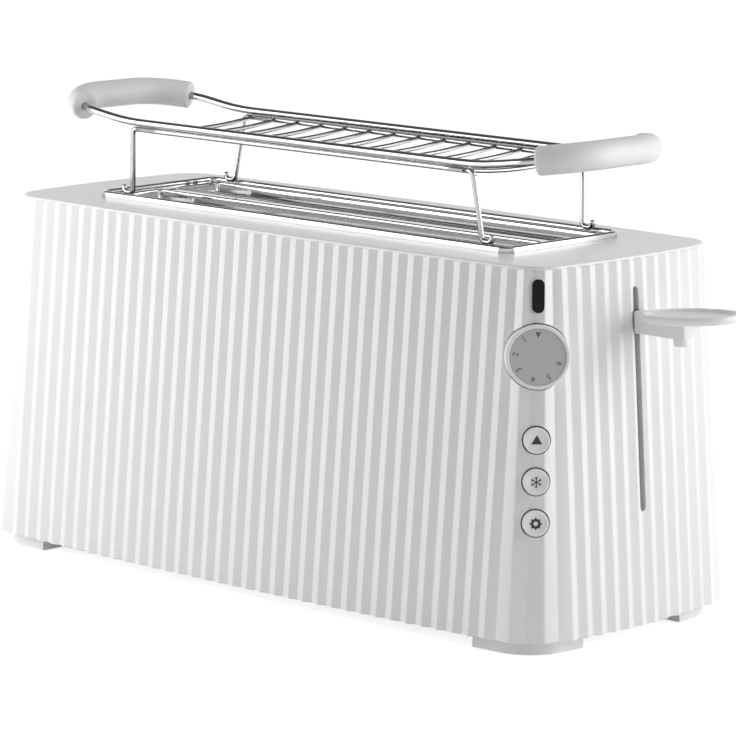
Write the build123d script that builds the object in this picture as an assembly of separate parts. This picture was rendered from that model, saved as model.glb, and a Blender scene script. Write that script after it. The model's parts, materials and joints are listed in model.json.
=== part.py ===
# Long-slot toaster with a pleated flared casing and a lift-off warming rack.
# Millimetres. X runs along the long side with the lever at +X, Y is depth with the front at -Y,
# Z is up and the feet stand on Z = 0. Everything is modelled about the casing's middle and
# moved in X at export, so that the origin is the middle of the whole object on its floor.
import os
from math import asin, cos, pi, radians, sin

import numpy as np
from build123d import *

# Casing wall
foot_height = 8.0
wall_height = 180.0
top_length = 371.0
top_depth = 146.0
top_corner_radius = 18.0
front_bow = 3.0
end_bow = 6.3
flare = 13.6
pleat_count = 102
pleat_depth = 2.0
shell_wall = 2.2
top_thickness = 3.0
rim_height = 3.0
rim_rounding = 1.2

# Bread slots and the slot deck round them
slot_length = 264.0
slot_width = 30.0
slot_spacing = 44.0
slot_lip_depth = 7.0
slot_corner_radius = 2.5
deck_side_gutter = 4.0
deck_end_gutter = 7.0
deck_corner_radius = 7.0
deck_rim_height = 3.5
deck_rim_width = 3.0
deck_sheet = 1.0

# Chamber
bulkhead_margin = 5.0
bulkhead_sheet = 1.0
shield_sheet = 0.8
heater_board_sheet = 1.0
heater_board_bottom = 32.0
heater_board_under_ceiling = 15.0
ribbon_height = 3.0
ribbon_sheet = 0.25
ribbon_rows = 8
guard_wire = 1.8
guard_rail = 2.2
guard_wires = 9
guard_bottom = 40.0
guard_under_ceiling = 9.0
guard_wall_gap = 3.2
guard_travel = 5.0

# Controls on the front right corner
window_over_knob = 5.2
window_width = 5.6
window_length = 16.0
knob_under_top = 42.7
knob_diameter = 31.0
knob_depth = 8.0
knob_proud = 1.2
knob_face_diameter = 27.0
knob_face_sheet = 0.8
buttons_under_knob = 17.9
button_pitch = 19.8
button_diameter = 12.6
button_proud = 0.9
button_travel = 1.5
board_setback = 22.0
board_width = 20.0
board_sheet = 1.6
shaft_diameter = 6.0
switch_size = 7.0

# Lever and carriage
lever_under_top = 32.0
lever_travel = 85.0
lever_extra_lift = 9.0
lever_arm_height = 11.0
lever_arm_thickness = 3.0
lever_slot_width = 4.0
paddle_length = 58.5
paddle_width = 40.0
paddle_edge = 4.6
paddle_dish = 1.7
paddle_rim_width = 3.2
paddle_neck = 4.5
paddle_rounding = 1.2
rib_width = 8.0
rib_fall = 1.7
stub_reach = 21.0
stub_length = 10.0
stub_drop = 3.8
tongue_length = 12.0
tongue_height = 4.0
rod_diameter = 5.0
rod_spacing = 44.0
rod_setback = 28.0
carriage_sheet = 1.6
carriage_height = 30.0
sleeve_wall = 2.0
lifter_width = 10.0
lifter_sheet = 1.5
lifter_drop = 12.0
armature_width = 22.0
armature_height = 4.0
armature_depth = 13.0
core_depth = 12.0
core_width = 30.0
limb_width = 8.0
limb_gap = 7.0
yoke_height = 6.0
coil_wall = 4.0

# Base, tray and feet
base_sheet = 2.5
tray_margin = 6.0
tray_depth = 8.0
tray_sheet = 0.8
tray_front_height = 14.0
foot_width = 40.0
foot_inset = 9.0
pad_diameter = 12.0
pad_height = 1.5
cord_hole_diameter = 7.4
cord_bush_wall = 2.5
screw_diameter = 3.5
screw_length = 14.0
screw_head_diameter = 7.0
screw_head_height = 2.4
post_size = 16.0
post_height = 12.0
post_setting = 13.0

# Warming rack
rail_diameter = 4.0
lower_rail_diameter = 2.8
cross_wire_diameter = 2.4
cross_wire_count = 14
cross_wire_pitch = 17.15
cross_wire_sag = 6.0
rack_height_above_deck = 40.5
rack_depth = 84.0
rack_reach = 195.5
rack_rise = 12.5
rack_bend_reach = 122.0
rack_end_radius = 34.0
rail_bend_radius = 160.0
sleeve_diameter = 14.5
sleeve_reach = 40.5
leg_lean = 3.5
foot_curl = 3.2

# Clearances
fit = 0.1
gap = 0.3
slack = 0.6

# Sizes that the sizes above give
casing_top = foot_height + wall_height
ceiling = casing_top - top_thickness
heater_board_height = ceiling - heater_board_under_ceiling - heater_board_bottom
guard_height = ceiling - guard_under_ceiling - guard_bottom
knob_height_above_floor = casing_top - knob_under_top
lever_height_above_floor = casing_top - lever_under_top
deck_length = slot_length + 2 * (deck_end_gutter + deck_rim_width)
deck_depth = slot_spacing + slot_width + 2 * (deck_side_gutter + deck_rim_width)
bulkhead_reach = slot_length / 2 + bulkhead_margin
tray_width = deck_depth - 2 * tray_margin
knob_radius = knob_diameter / 2
window_height_above_floor = knob_height_above_floor + knob_radius + window_over_knob + window_length / 2
top_button_height = knob_height_above_floor - knob_radius - buttons_under_knob - button_diameter / 2
button_heights_above_floor = [top_button_height - n * button_pitch for n in range(3)]
base_top = foot_height + base_sheet
draft = asin(flare / (wall_height**2 + flare**2) ** 0.5) * 180 / pi

# Outline of the casing: two long arcs, two end arcs and four corners, all tangent
half_length = top_length / 2
half_depth = top_depth / 2
front_turn = radians(front_bow)
end_turn = radians(end_bow)
bow_radii = np.linalg.solve(
    [[sin(front_turn), 1 - cos(end_turn)], [1 - cos(front_turn), sin(end_turn)]],
    [
        half_length - top_corner_radius * (cos(end_turn) - sin(front_turn)),
        half_depth - top_corner_radius * (cos(front_turn) - sin(end_turn)),
    ],
)
front_radius = float(bow_radii[0])
end_radius = float(bow_radii[1])
corner_x = (front_radius - top_corner_radius) * sin(front_turn)
corner_y = half_depth - front_radius + (front_radius - top_corner_radius) * cos(front_turn)

# The lever stands this far past the middle, and the rack this far the other way
wall_reach_at_lever = half_length + flare * (casing_top - lever_height_above_floor) / wall_height
tip_reach = (slack + paddle_length - paddle_rounding) * cos(radians(draft)) + paddle_rounding
tip_lean = (lever_arm_height / 2 - paddle_edge + paddle_rounding) * sin(radians(draft))
lever_tip = wall_reach_at_lever + tip_reach - tip_lean
rack_tip = rack_reach + sleeve_diameter / 2
middle_x = (lever_tip - rack_tip) / 2


def normal(turn):
    """Outward direction at a turn, counted from the front towards the lever end."""
    return np.array([sin(turn), -cos(turn)])


def outline_arcs():
    """Each arc of the outline as (centre, radius, start turn, end turn), from the front's middle."""
    quarter = pi / 2
    front = (np.array([0, front_radius - half_depth]), front_radius)
    end = (np.array([half_length - end_radius, 0]), end_radius)
    corner = (np.array([corner_x, -corner_y]), top_corner_radius)
    arcs = [
        (*front, 0, front_turn),
        (*corner, front_turn, quarter - end_turn),
        (*end, quarter - end_turn, quarter + end_turn),
        (corner[0] * [1, -1], corner[1], quarter + end_turn, pi - front_turn),
        (-front[0], front[1], pi - front_turn, pi + front_turn),
        (-corner[0], corner[1], pi + front_turn, 3 * quarter - end_turn),
        (-end[0], end[1], 3 * quarter - end_turn, 3 * quarter + end_turn),
        (corner[0] * [-1, 1], corner[1], 3 * quarter + end_turn, 2 * pi - front_turn),
        (*front, -front_turn, 0),
    ]
    return arcs


def outline_at(offset, height):
    """Smooth outline, moved outwards by offset, as a face at a height."""
    with BuildSketch(Plane.XY.offset(height)) as sketch:
        with BuildLine():
            for centre, radius, start, end in outline_arcs():
                points = [centre + (radius + offset) * normal(t) for t in (start, (start + end) / 2, end)]
                ThreePointArc(*[tuple(p) for p in points])
        make_face()
    return sketch.sketch


def wall_offset(height):
    return flare * (casing_top - height) / wall_height


def flared_block(inset, low, high):
    """Solid inside the casing's smooth wall, between two heights."""
    return loft([outline_at(wall_offset(z) - inset, z) for z in (low, high)], ruled=True)


def pleat_points(height):
    """Ridges and valleys in turn round the casing at one height."""
    arcs = outline_arcs()
    perimeter = sum(radius * (end - start) for _, radius, start, end in arcs)
    points = []
    for step in range(2 * pleat_count):
        along = perimeter * step / (2 * pleat_count)
        for centre, radius, start, end in arcs:
            if along <= radius * (end - start):
                break
            along -= radius * (end - start)
        turn = start + along / radius
        inset = pleat_depth * (step % 2)
        points.append(tuple(centre + (radius + wall_offset(height) - inset) * normal(turn)))
    return points


def pleated_block(low, high):
    faces = [Plane.XY.offset(z) * make_face(Polyline(*pleat_points(z), close=True)) for z in (low, high)]
    return loft(faces, ruled=True)


def box(low, high):
    """Box from its lowest corner to its highest."""
    size = [h - l for l, h in zip(low, high)]
    return Pos(*low) * Box(*size, align=(Align.MIN, Align.MIN, Align.MIN))


def rod(points, diameter, radii=None):
    """Wire bent through points, with a radius at each inner point."""
    if radii is None:
        path = Line(*points) if len(points) == 2 else Polyline(*points)
    else:
        path = FilletPolyline(*points, radius=radii)
    section = Plane(path @ 0, z_dir=path % 0) * Circle(diameter / 2)
    return sweep(section, path=path)


def export(shape, node):
    solids = shape if isinstance(shape, list) else [shape]
    moved = [Pos(-middle_x, 0, 0) * s for s in solids]
    export_step(moved[0] if len(moved) == 1 else Compound(children=moved), f"parts/{node}.step")


# Corner that carries the controls
corner_turn = radians(45)


def corner_plane(height):
    """Plane on the corner's crest at a height, facing out along the wall's normal."""
    crest = np.array([corner_x, -corner_y]) + (top_corner_radius + wall_offset(height)) * normal(corner_turn)
    across = normal(corner_turn + pi / 2)
    out = normal(corner_turn) * cos(radians(draft))
    return Plane(
        origin=(*crest, height),
        x_dir=(*across, 0),
        z_dir=(*out, sin(radians(draft))),
    )


def disc(height, diameter, front, back):
    """Cylinder on the corner axis between two depths, counted outwards from the crest."""
    at = corner_plane(height) * Pos(0, 0, back)
    return at * Cylinder(diameter / 2, front - back, align=(Align.CENTER, Align.CENTER, Align.MIN))


def pill(height, width, length, front, back):
    face = corner_plane(height) * Pos(0, 0, back) * Rot(0, 0, 90) * SlotOverall(length, width)
    return extrude(face, front - back)


# Lever mechanism: it slides along the slope of the end wall
travel_plane = Plane(
    origin=(wall_reach_at_lever - rod_setback, 0, lever_height_above_floor),
    x_dir=(cos(radians(draft)), 0, sin(radians(draft))),
    z_dir=(-sin(radians(draft)), 0, cos(radians(draft))),
)


# Plane of the paddle, which stands square to that slope
paddle_plane = Plane(
    origin=(wall_reach_at_lever, 0, lever_height_above_floor),
    x_dir=tuple(travel_plane.x_dir),
    z_dir=tuple(travel_plane.z_dir),
)


def at_travel(x, y, z):
    return travel_plane * Pos(x, y, z)


def slot_middles():
    return (-slot_spacing / 2, slot_spacing / 2)


def deck_opening_face(grow):
    """Rounded rectangle of the casing's opening for the deck, grown by a clearance."""
    inset = deck_rim_width - grow
    return RectangleRounded(deck_length - 2 * inset, deck_depth - 2 * inset, deck_corner_radius - inset)


def lifter_level():
    return lever_height_above_floor - lifter_drop


def lifter_slots(x_low, x_high):
    """Cuts that let the bread lifters pass an end plate over their whole travel."""
    low = lifter_level() - lever_travel - lifter_sheet - slack
    high = lifter_level() + lever_extra_lift + lifter_sheet + slack
    half = lifter_width / 2 + slack
    return [box((x_low, y - half, low), (x_high, y + half, high)) for y in slot_middles()]


def make_casing():
    inset = pleat_depth + shell_wall
    wall = pleated_block(foot_height, casing_top - rim_height)
    crown = extrude(outline_at(-pleat_depth / 4, casing_top - rim_height), rim_height)
    crown = fillet(crown.edges().group_by(Axis.Z)[-1], rim_rounding)
    solid = wall + crown
    cavity = flared_block(inset, foot_height - 1, ceiling)
    shell = solid - cavity
    shell -= Pos(0, 0, ceiling - 1) * extrude(deck_opening_face(gap), top_thickness + 2)
    # Well behind the knob, moulded as a cup inside the corner
    well = knob_diameter + 2 * slack
    well_floor = knob_proud - knob_depth - gap
    cup = disc(knob_height_above_floor, well + 2 * shell_wall, 4, well_floor - shell_wall)
    shell += cup & solid
    shell -= disc(knob_height_above_floor, well, 9, well_floor)
    shell -= disc(knob_height_above_floor, shaft_diameter + 2 * slack, 0, -knob_depth - 9)
    for height in button_heights_above_floor:
        shell -= disc(height, button_diameter + slack, 3, -9)
    shell -= pill(window_height_above_floor, window_width + 2 * fit, window_length + 2 * fit, 3, -9)
    # Slot for the lever arm
    reach = half_length + flare + 2
    low = lever_height_above_floor - lever_travel - lever_arm_height / 2 - slack * 4
    high = lever_height_above_floor + lever_extra_lift + lever_arm_height / 2 + slack * 4
    shell -= box((half_length - 12, -lever_slot_width / 2, low), (reach, lever_slot_width / 2, high))
    # Mouth of the crumb tray
    half = tray_width / 2 + 2 + slack
    mouth_top = foot_height + tray_front_height + slack
    shell -= box((-reach, -half, foot_height - 1), (-half_length + 6, half, mouth_top))
    # Screw blocks in the corners, each with its hole
    lining = flared_block(pleat_depth, foot_height, ceiling)
    for post in screw_places():
        shell += upright(post, base_top + gap, Rectangle(post_size, post_size), post_height) & lining
        shell -= upright(post, base_top, Circle(screw_diameter / 2 + fit), post_height - 1)
    return shell


def upright(place, low, section, height):
    """Section extruded upwards from a height at a place in plan."""
    return Pos(*place, low) * extrude(section, height)


def screw_places():
    x = corner_x + post_setting
    y = corner_y + post_setting
    return [(sx * x, sy * y) for sx in (-1, 1) for sy in (-1, 1)]


def make_slot_deck():
    pan_bottom = casing_top - deck_sheet
    outline = RectangleRounded(deck_length, deck_depth, deck_corner_radius)
    rim = extrude(Pos(0, 0, casing_top) * outline, deck_rim_height)
    rim -= extrude(Pos(0, 0, casing_top) * deck_opening_face(0), deck_rim_height)
    outer_top = rim.edges().group_by(Axis.Z)[-1]
    rim = fillet(outer_top, deck_rim_width / 2 - fit)
    pan = extrude(Pos(0, 0, pan_bottom) * deck_opening_face(0), 2 * deck_sheet)
    skirt = extrude(Pos(0, 0, casing_top) * deck_opening_face(deck_sheet), deck_sheet)
    deck = rim + pan + skirt
    for y in slot_middles():
        lip = RectangleRounded(
            slot_length + 2 * deck_sheet, slot_width + 2 * deck_sheet, slot_corner_radius + deck_sheet
        )
        deck += Pos(0, y, casing_top - slot_lip_depth) * extrude(lip, slot_lip_depth + 2 * deck_sheet)
    for y in slot_middles():
        mouth = RectangleRounded(slot_length, slot_width, slot_corner_radius)
        cut = extrude(mouth, slot_lip_depth + 2 * deck_rim_height)
        deck -= Pos(0, y, casing_top - slot_lip_depth - 1) * cut
    return deck


def make_base_plate():
    inset = pleat_depth + shell_wall + gap
    plate = flared_block(inset, foot_height, base_top)
    for post in screw_places():
        plate -= upright(post, foot_height - 1, Circle(screw_diameter / 2 + fit), base_sheet + 2)
    mouth = tray_width / 2 + 2 + slack
    plate -= box((-half_length - flare, -mouth, 0), (tray_front_inner() + gap, mouth, base_top + 1))
    # Cooling slots under the chamber
    for x in np.linspace(-0.8 * bulkhead_reach, 0.8 * bulkhead_reach, 12):
        for side in (-1, 1):
            cut = Pos(x, side * (tray_width / 2 + 12), foot_height) * Rot(0, 0, 90)
            plate -= cut * extrude(SlotOverall(16, 4), 2 * base_sheet, both=True)
    # Runners beside the crumb tray
    runner_y = tray_width / 2 + gap
    for side in (-1, 1):
        near = min(side * runner_y, side * (runner_y + 2))
        plate += box((-half_length + 8, near, base_top), (bulkhead_reach - 4, near + 2, base_top + 5))
    # Sockets of the two guide rods and hole for the cord bush
    for side in (-1, 1):
        foot = at_travel(0, side * rod_spacing / 2, 0).position - travel_plane.z_dir * rod_drop()
        plate += upright((foot.X, foot.Y), base_top, Circle(rod_diameter), 5)
        plate -= rod_axis(side, rod_diameter + 2 * fit)
    hole = cord_hole_diameter / 2 + cord_bush_wall + fit
    plate -= upright(cord_place(), foot_height - 1, Circle(hole), base_sheet + 2)
    return plate


def cord_place():
    return (bulkhead_reach + bulkhead_sheet + cord_hole_diameter + cord_bush_wall, 0)


def rod_drop():
    """Length along the travel from the lever's height down to just over the base plate."""
    return (lever_height_above_floor - base_top - gap) / cos(radians(draft))


def rod_axis(side, diameter):
    lower = at_travel(0, side * rod_spacing / 2, -rod_drop() + gap)
    length = rod_drop() + (ceiling - 2 - lever_height_above_floor)
    return lower * Cylinder(diameter / 2, length, align=(Align.CENTER, Align.CENTER, Align.MIN))


def make_guide_rods():
    return [rod_axis(side, rod_diameter) for side in (-1, 1)]


def make_guide_bracket():
    low = ceiling - 5
    reach = at_travel(0, 0, 0).position.X + rod_diameter * 1.6
    half = rod_spacing / 2 + rod_diameter * 1.6
    back = bulkhead_reach + bulkhead_sheet
    plate = box((back, -half, low), (reach, half, low + 2))
    plate += box((back, -half, low - 12), (back + 1.5, half, low))
    for side in (-1, 1):
        plate -= rod_axis(side, rod_diameter + 2 * fit)
    for y in slot_middles():
        plate -= box((0, y - lifter_width / 2 - 1, 0), (reach - 12, y + lifter_width / 2 + 1, low - 4))
    return plate


def make_bulkhead(side):
    half = deck_depth / 2
    legs_low = base_top
    x = bulkhead_reach if side > 0 else -bulkhead_reach - bulkhead_sheet
    sheet = box((x, -half, legs_low), (x + bulkhead_sheet, half, ceiling - gap))
    notch = tray_width / 2 + 2 + slack
    sheet -= box((x - 1, -notch, 0), (x + 2, notch, base_top + tray_depth + 4))
    for cut in lifter_slots(x - 1, x + 2):
        sheet -= cut
    for y, inward in guard_rows():
        low_y = min(y, y + inward * guard_travel) - guard_rail / 2 - 2 * gap
        high_y = max(y, y + inward * guard_travel) + guard_rail / 2 + 2 * gap
        for z in guard_rail_heights():
            half_rail = guard_rail / 2 + gap
            sheet -= box((x - 1, low_y, z - half_rail), (x + 2, high_y, z + half_rail))
    return sheet


def make_heat_shield(side):
    near = deck_depth / 2 if side > 0 else -deck_depth / 2 - shield_sheet
    reach = bulkhead_reach + bulkhead_sheet
    sheet = box((-reach, near, base_top), (reach, near + shield_sheet, ceiling - gap))
    flange_y = near + shield_sheet if side > 0 else near - 8
    sheet += box((-reach, flange_y, base_top), (reach, flange_y + 8, base_top + shield_sheet))
    return sheet


def board_rows():
    """Middle plane of each heater board and the sides that face bread."""
    outer = slot_spacing / 2 + slot_width / 2 + heater_board_sheet
    return {"front": (-outer, (1,)), "centre": (0, (-1, 1)), "back": (outer, (-1,))}


def make_heater_board(row):
    y, _ = board_rows()[row]
    half = heater_board_sheet / 2
    top = heater_board_bottom + heater_board_height
    board = box((-bulkhead_reach, y - half, heater_board_bottom), (bulkhead_reach, y + half, top))
    for x in (-bulkhead_reach + 12, bulkhead_reach - 12):
        board -= Pos(x, y, top - 10) * Rot(90, 0, 0) * Cylinder(2.5, 4)
    return board


def make_heater_ribbons(row):
    y, sides = board_rows()[row]
    reach = bulkhead_reach - 7
    pitch = heater_board_height / (ribbon_rows + 0.5)
    ribbons = []
    for side in sides:
        near = y + side * heater_board_sheet / 2
        low_y = min(near, near + side * ribbon_sheet)
        for n in range(ribbon_rows):
            z = heater_board_bottom + pitch * (n + 0.5)
            ribbons.append(box((-reach, low_y, z), (reach, low_y + ribbon_sheet, z + ribbon_height)))
    return ribbons


def guard_rows():
    """Rest plane of each bread guard with the way it closes in."""
    reach = slot_width / 2 - guard_wall_gap + 1
    rows = []
    for y in slot_middles():
        rows.append((y - reach, 1))
        rows.append((y + reach, -1))
    return rows


def guard_rail_heights():
    return (guard_bottom, guard_bottom + guard_height)


def make_bread_guard(y):
    rail_reach = bulkhead_reach + bulkhead_sheet - gap
    guard = None
    for z in guard_rail_heights():
        rail = rod([(-rail_reach, y, z), (rail_reach, y, z)], guard_rail)
        guard = rail if guard is None else guard + rail
    for x in np.linspace(-bulkhead_reach + 12, bulkhead_reach - 12, guard_wires):
        low, high = guard_rail_heights()
        guard += rod([(x, y, low), (x, y, high)], guard_wire)
    return guard


def carriage_top():
    return carriage_height * 0.4


def carriage_bottom():
    return carriage_top() - carriage_height


def standing(radius, height):
    """Cylinder on its own base."""
    return Cylinder(radius, height, align=(Align.CENTER, Align.CENTER, Align.MIN))


def rod_sleeve(side, radius, past):
    """Cylinder round one guide rod as tall as the carriage, and past it by a length at both ends."""
    base = at_travel(0, side * rod_spacing / 2, carriage_bottom() - past)
    return base * standing(radius, carriage_height + 2 * past)


def make_carriage():
    half = rod_spacing / 2 + rod_diameter / 2 + sleeve_wall
    plate_back = -rod_diameter / 2 - sleeve_wall - carriage_sheet + 0.4
    plate = at_travel(plate_back + carriage_sheet / 2, 0, (carriage_top() + carriage_bottom()) / 2)
    carriage = plate * Box(carriage_sheet, 2 * half, carriage_height)
    for side in (-1, 1):
        carriage += rod_sleeve(side, rod_diameter / 2 + sleeve_wall, 0)
    for side in (-1, 1):
        carriage -= rod_sleeve(side, rod_diameter / 2 + gap, 1)
    # Flange that carries the armature
    shelf = at_travel(plate_back + 8, 0, carriage_bottom() + carriage_sheet / 2)
    carriage += shelf * Box(16, armature_width, carriage_sheet)
    carriage -= lever_arm_box(fit)
    for y in slot_middles():
        carriage -= lifter_end_box(y, fit)
    return carriage


def make_armature():
    place = at_travel(-rod_diameter / 2 - sleeve_wall + 8, 0, carriage_bottom() - armature_height / 2)
    return place * Box(armature_depth, armature_width - 2, armature_height)


def make_electromagnet():
    """E core standing on the base under the armature's lowest place, with its coil on the middle limb."""
    shift = travel_plane.z_dir * -lever_travel
    armature = make_armature().bounding_box()
    low_face = armature.min.Z + shift.Z - gap
    x = (armature.min.X + armature.max.X) / 2 + shift.X
    yoke_top = base_top + yoke_height
    half = core_width / 2
    core = box((x - core_depth / 2, -half, base_top), (x + core_depth / 2, half, low_face))
    for side in (-1, 1):
        near = min(side * limb_width / 2, side * (limb_width / 2 + limb_gap))
        core -= box((x - core_depth, near, yoke_top), (x + core_depth, near + limb_gap, low_face + 1))
    coil_plan = RectangleRounded(core_depth + 2 * coil_wall, limb_width + 2 * limb_gap - 2, coil_wall - 1)
    coil = Pos(x, 0, yoke_top) * extrude(coil_plan, low_face - yoke_top - coil_wall)
    half_x = core_depth / 2 + fit
    half_y = limb_width / 2 + fit
    coil -= box((x - half_x, -half_y, 0), (x + half_x, half_y, low_face + 1))
    return core, coil


def make_carriage_spring():
    """Pull-up spring on the carriage's shelf, drawn as its outer sleeve."""
    shelf_top = carriage_bottom() + carriage_sheet
    bracket_level = (ceiling - 5 - lever_height_above_floor) / cos(radians(draft))
    length = bracket_level - shelf_top - 2 * gap
    return at_travel(3, 8, shelf_top + fit) * (standing(3.5, length) - standing(2.7, length))


def lever_arm_box(grow):
    inner = at_travel(-rod_diameter / 2 - sleeve_wall - carriage_sheet - 2, 0, 0).position.X
    half_t = lever_arm_thickness / 2 + grow
    half_h = lever_arm_height / 2 + grow
    z = lever_height_above_floor
    outer = wall_reach_at_lever + slack - fit - lever_arm_height / 2 * sin(radians(draft))
    return box((inner, -half_t, z - half_h), (outer, half_t, z + half_h))


def tongue_box(grow):
    """End of the lever arm that is held inside the paddle."""
    z = lever_height_above_floor
    half_t = lever_arm_thickness / 2 + grow
    half_h = tongue_height / 2 + grow
    start = wall_reach_at_lever - grow
    return box((start, -half_t, z - half_h), (start + slack + tongue_length + 2 * grow, half_t, z + half_h))


def make_lever_arm():
    return lever_arm_box(0) + tongue_box(0)


def paddle_oval(inset, low, high):
    """Oval slab of the paddle between two heights over the arm's middle."""
    length = paddle_length - paddle_neck
    middle = slack + paddle_neck + length / 2
    plan = paddle_plane * Pos(middle, 0, low) * Ellipse(length / 2 - inset, paddle_width / 2 - inset)
    return extrude(plan, high - low)


def make_lever_paddle():
    """Dished oval with a raised rim, on a rib that starts at the slot and ends in a short stub."""
    top = lever_arm_height / 2
    dish = paddle_oval(0, top - paddle_edge, top)
    dish = fillet(dish.edges(), paddle_rounding)
    dish -= paddle_oval(paddle_rim_width, top - paddle_dish, top + 1)
    under_dish = top - paddle_dish - (paddle_edge - paddle_dish) / 2
    neck_end = slack + paddle_neck + paddle_rim_width / 2
    rib_low = -top - rib_fall
    stub_end = stub_reach + stub_length
    side = Polyline(
        (slack, -top),
        (slack, top),
        (neck_end, top),
        (neck_end, under_dish),
        (stub_end, under_dish),
        (stub_end - 1, rib_low),
        (stub_reach, rib_low),
        close=True,
    )
    upright_plane = Plane(paddle_plane.origin, x_dir=paddle_plane.x_dir, z_dir=(0, -1, 0))
    rib = extrude(upright_plane * make_face(side), rib_width / 2, both=True)
    stub_base = paddle_plane * Pos(stub_reach + stub_length / 2, 0, rib_low - stub_drop)
    stub = stub_base * standing(rib_width / 2, under_dish - rib_low + stub_drop)
    return dish + rib + stub - tongue_box(fit)


def lifter_end_box(y, grow):
    inner = at_travel(-rod_diameter / 2 - sleeve_wall, 0, 0).position.X - carriage_sheet - 6
    outer = at_travel(-rod_diameter / 2 - sleeve_wall, 0, -lifter_drop).position.X + gap
    z = lifter_level()
    half = lifter_width / 2 - 2 + grow
    return box((inner, y - half, z - lifter_sheet - grow), (outer, y + half, z + grow))


def make_bread_lifter(y):
    """Long rail with a row of upright teeth that the bread stands on."""
    z = lifter_level()
    half = lifter_width / 2
    inner = lifter_end_box(y, 0).bounding_box().min.X
    rail = box((-bulkhead_reach - bulkhead_sheet - 9, y - half, z - lifter_sheet), (inner + 1, y + half, z))
    rail += lifter_end_box(y, 0)
    for x in np.linspace(-slot_length / 2 + 8, slot_length / 2 - 8, 13):
        rail += box((x - 0.6, y - half + 1, z), (x + 0.6, y + half - 1, z + 3))
    return rail


def front_edge(body, height):
    """Round edge of a disc on the corner that faces outwards."""
    plane = corner_plane(height)
    return body.edges().sort_by_distance(tuple(plane.origin + plane.z_dir * knob_diameter))[0]


def make_knob():
    z = knob_height_above_floor
    body = disc(z, knob_diameter, knob_proud, knob_proud - knob_depth)
    body = fillet(front_edge(body, z), 0.8)
    body -= disc(z, knob_face_diameter + 2 * fit, knob_proud + 1, knob_proud - knob_face_sheet)
    body -= disc(z, knob_diameter - 4, knob_proud - 2.5, knob_proud - knob_depth - 1)
    body += disc(z, shaft_diameter + 5, knob_proud - 2, knob_proud - knob_depth)
    body -= disc(z, shaft_diameter + 2 * fit, knob_proud - 2.5, knob_proud - knob_depth - 1)
    return body


def make_knob_face():
    front = knob_proud - gap
    return disc(knob_height_above_floor, knob_face_diameter, front, knob_proud - knob_face_sheet)


def make_knob_shaft():
    return disc(knob_height_above_floor, shaft_diameter, knob_proud - 2.5, -board_setback + 4)


def make_potentiometer():
    front = knob_proud - knob_depth - shell_wall - 2 * gap
    body = disc(knob_height_above_floor, 16, front, -board_setback)
    body -= disc(knob_height_above_floor, shaft_diameter + 2 * gap, 0, -board_setback + 3.5)
    return body


def make_button(height):
    """Cap in the wall with a flange and a stem behind it."""
    cap = disc(height, button_diameter, button_proud, -6.5)
    cap = fillet(front_edge(cap, height), 0.5)
    flange = disc(height, button_diameter + 2, -6.5, -7.7)
    stem = disc(height, 4, -7.7, -board_setback + 4 + button_travel + gap)
    return cap + flange + stem


def make_button_switches():
    switches = []
    for height in button_heights_above_floor:
        body = corner_plane(height) * Pos(0, 0, -board_setback + 1.5) * Box(switch_size, switch_size, 3)
        switches.append(body + disc(height, 3, -board_setback + 4, -board_setback + 2.9))
    return switches


def make_control_board():
    low = corner_plane(min(button_heights_above_floor) - 14)
    high = corner_plane(window_height_above_floor - 6)
    length = (Vector(*high.origin) - Vector(*low.origin)).length
    board = low * Pos(0, length / 2, -board_setback - board_sheet / 2) * Box(board_width, length, board_sheet)
    return board - disc(knob_height_above_floor, shaft_diameter + 1, 0, -board_setback - 2 * board_sheet)


def make_window_lens():
    behind = -pleat_depth - shell_wall - 3 * gap
    lens = pill(window_height_above_floor, window_width, window_length, -0.6, behind)
    return lens + pill(window_height_above_floor, window_width + 2, window_length + 2, behind, behind - 1)


def foot_corner():
    """Outermost place of a foot, measured from the casing's middle."""
    return half_length + flare - foot_inset, half_depth + flare - foot_inset


def make_foot(sx, sy):
    """White foot that follows the casing's corner, with a screw through it and a pad under it."""
    x, y = foot_corner()
    block = flared_block(foot_inset, pad_height / 2, foot_height)
    corner = box((x - foot_width, y - foot_width, 0), (2 * x, 2 * y, foot_height))
    screw = (corner_x + post_setting, corner_y + post_setting)
    foot = block & corner
    foot -= upright(foot_pad_place(1, 1), 0, Circle(pad_diameter / 2 + fit), pad_height)
    foot -= upright(screw, 0, Circle(screw_head_diameter / 2 + gap), foot_height - screw_seat())
    foot -= upright(screw, 0, Circle(screw_diameter / 2 + fit), foot_height + 1)
    if sx < 0:
        foot = mirror(foot, about=Plane.YZ)
    return mirror(foot, about=Plane.XZ) if sy < 0 else foot


def screw_seat():
    """Thickness of foot left above a screw head."""
    return foot_height / 2


def foot_pad_place(sx, sy):
    x, y = foot_corner()
    inward = foot_width - pad_diameter
    return sx * (x - inward), sy * (y - inward)


def make_foot_pad(sx, sy):
    return upright(foot_pad_place(sx, sy), 0, Circle(pad_diameter / 2), pad_height)


def make_base_screws():
    screws = []
    seat = foot_height - screw_seat()
    for post in screw_places():
        head = upright(post, seat - screw_head_height, Circle(screw_head_diameter / 2), screw_head_height)
        screws.append(head + upright(post, seat, Circle(screw_diameter / 2), screw_length))
    return screws


def tray_front_inner():
    """Flat inner face of the tray's front, clear of the casing's wall."""
    return -(half_length + wall_offset(base_top) - pleat_depth - shell_wall) + 5


def make_crumb_tray():
    low = base_top + gap
    inner = tray_front_inner()
    far = bulkhead_reach - 6
    half = tray_width / 2
    tray = box((inner, -half, low), (far, half, low + tray_depth))
    hollow_half = half - tray_sheet
    hollow = box((inner - 1, -hollow_half, low + tray_sheet), (far - tray_sheet, hollow_half, low + 2 * tray_depth))
    return tray - hollow


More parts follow.
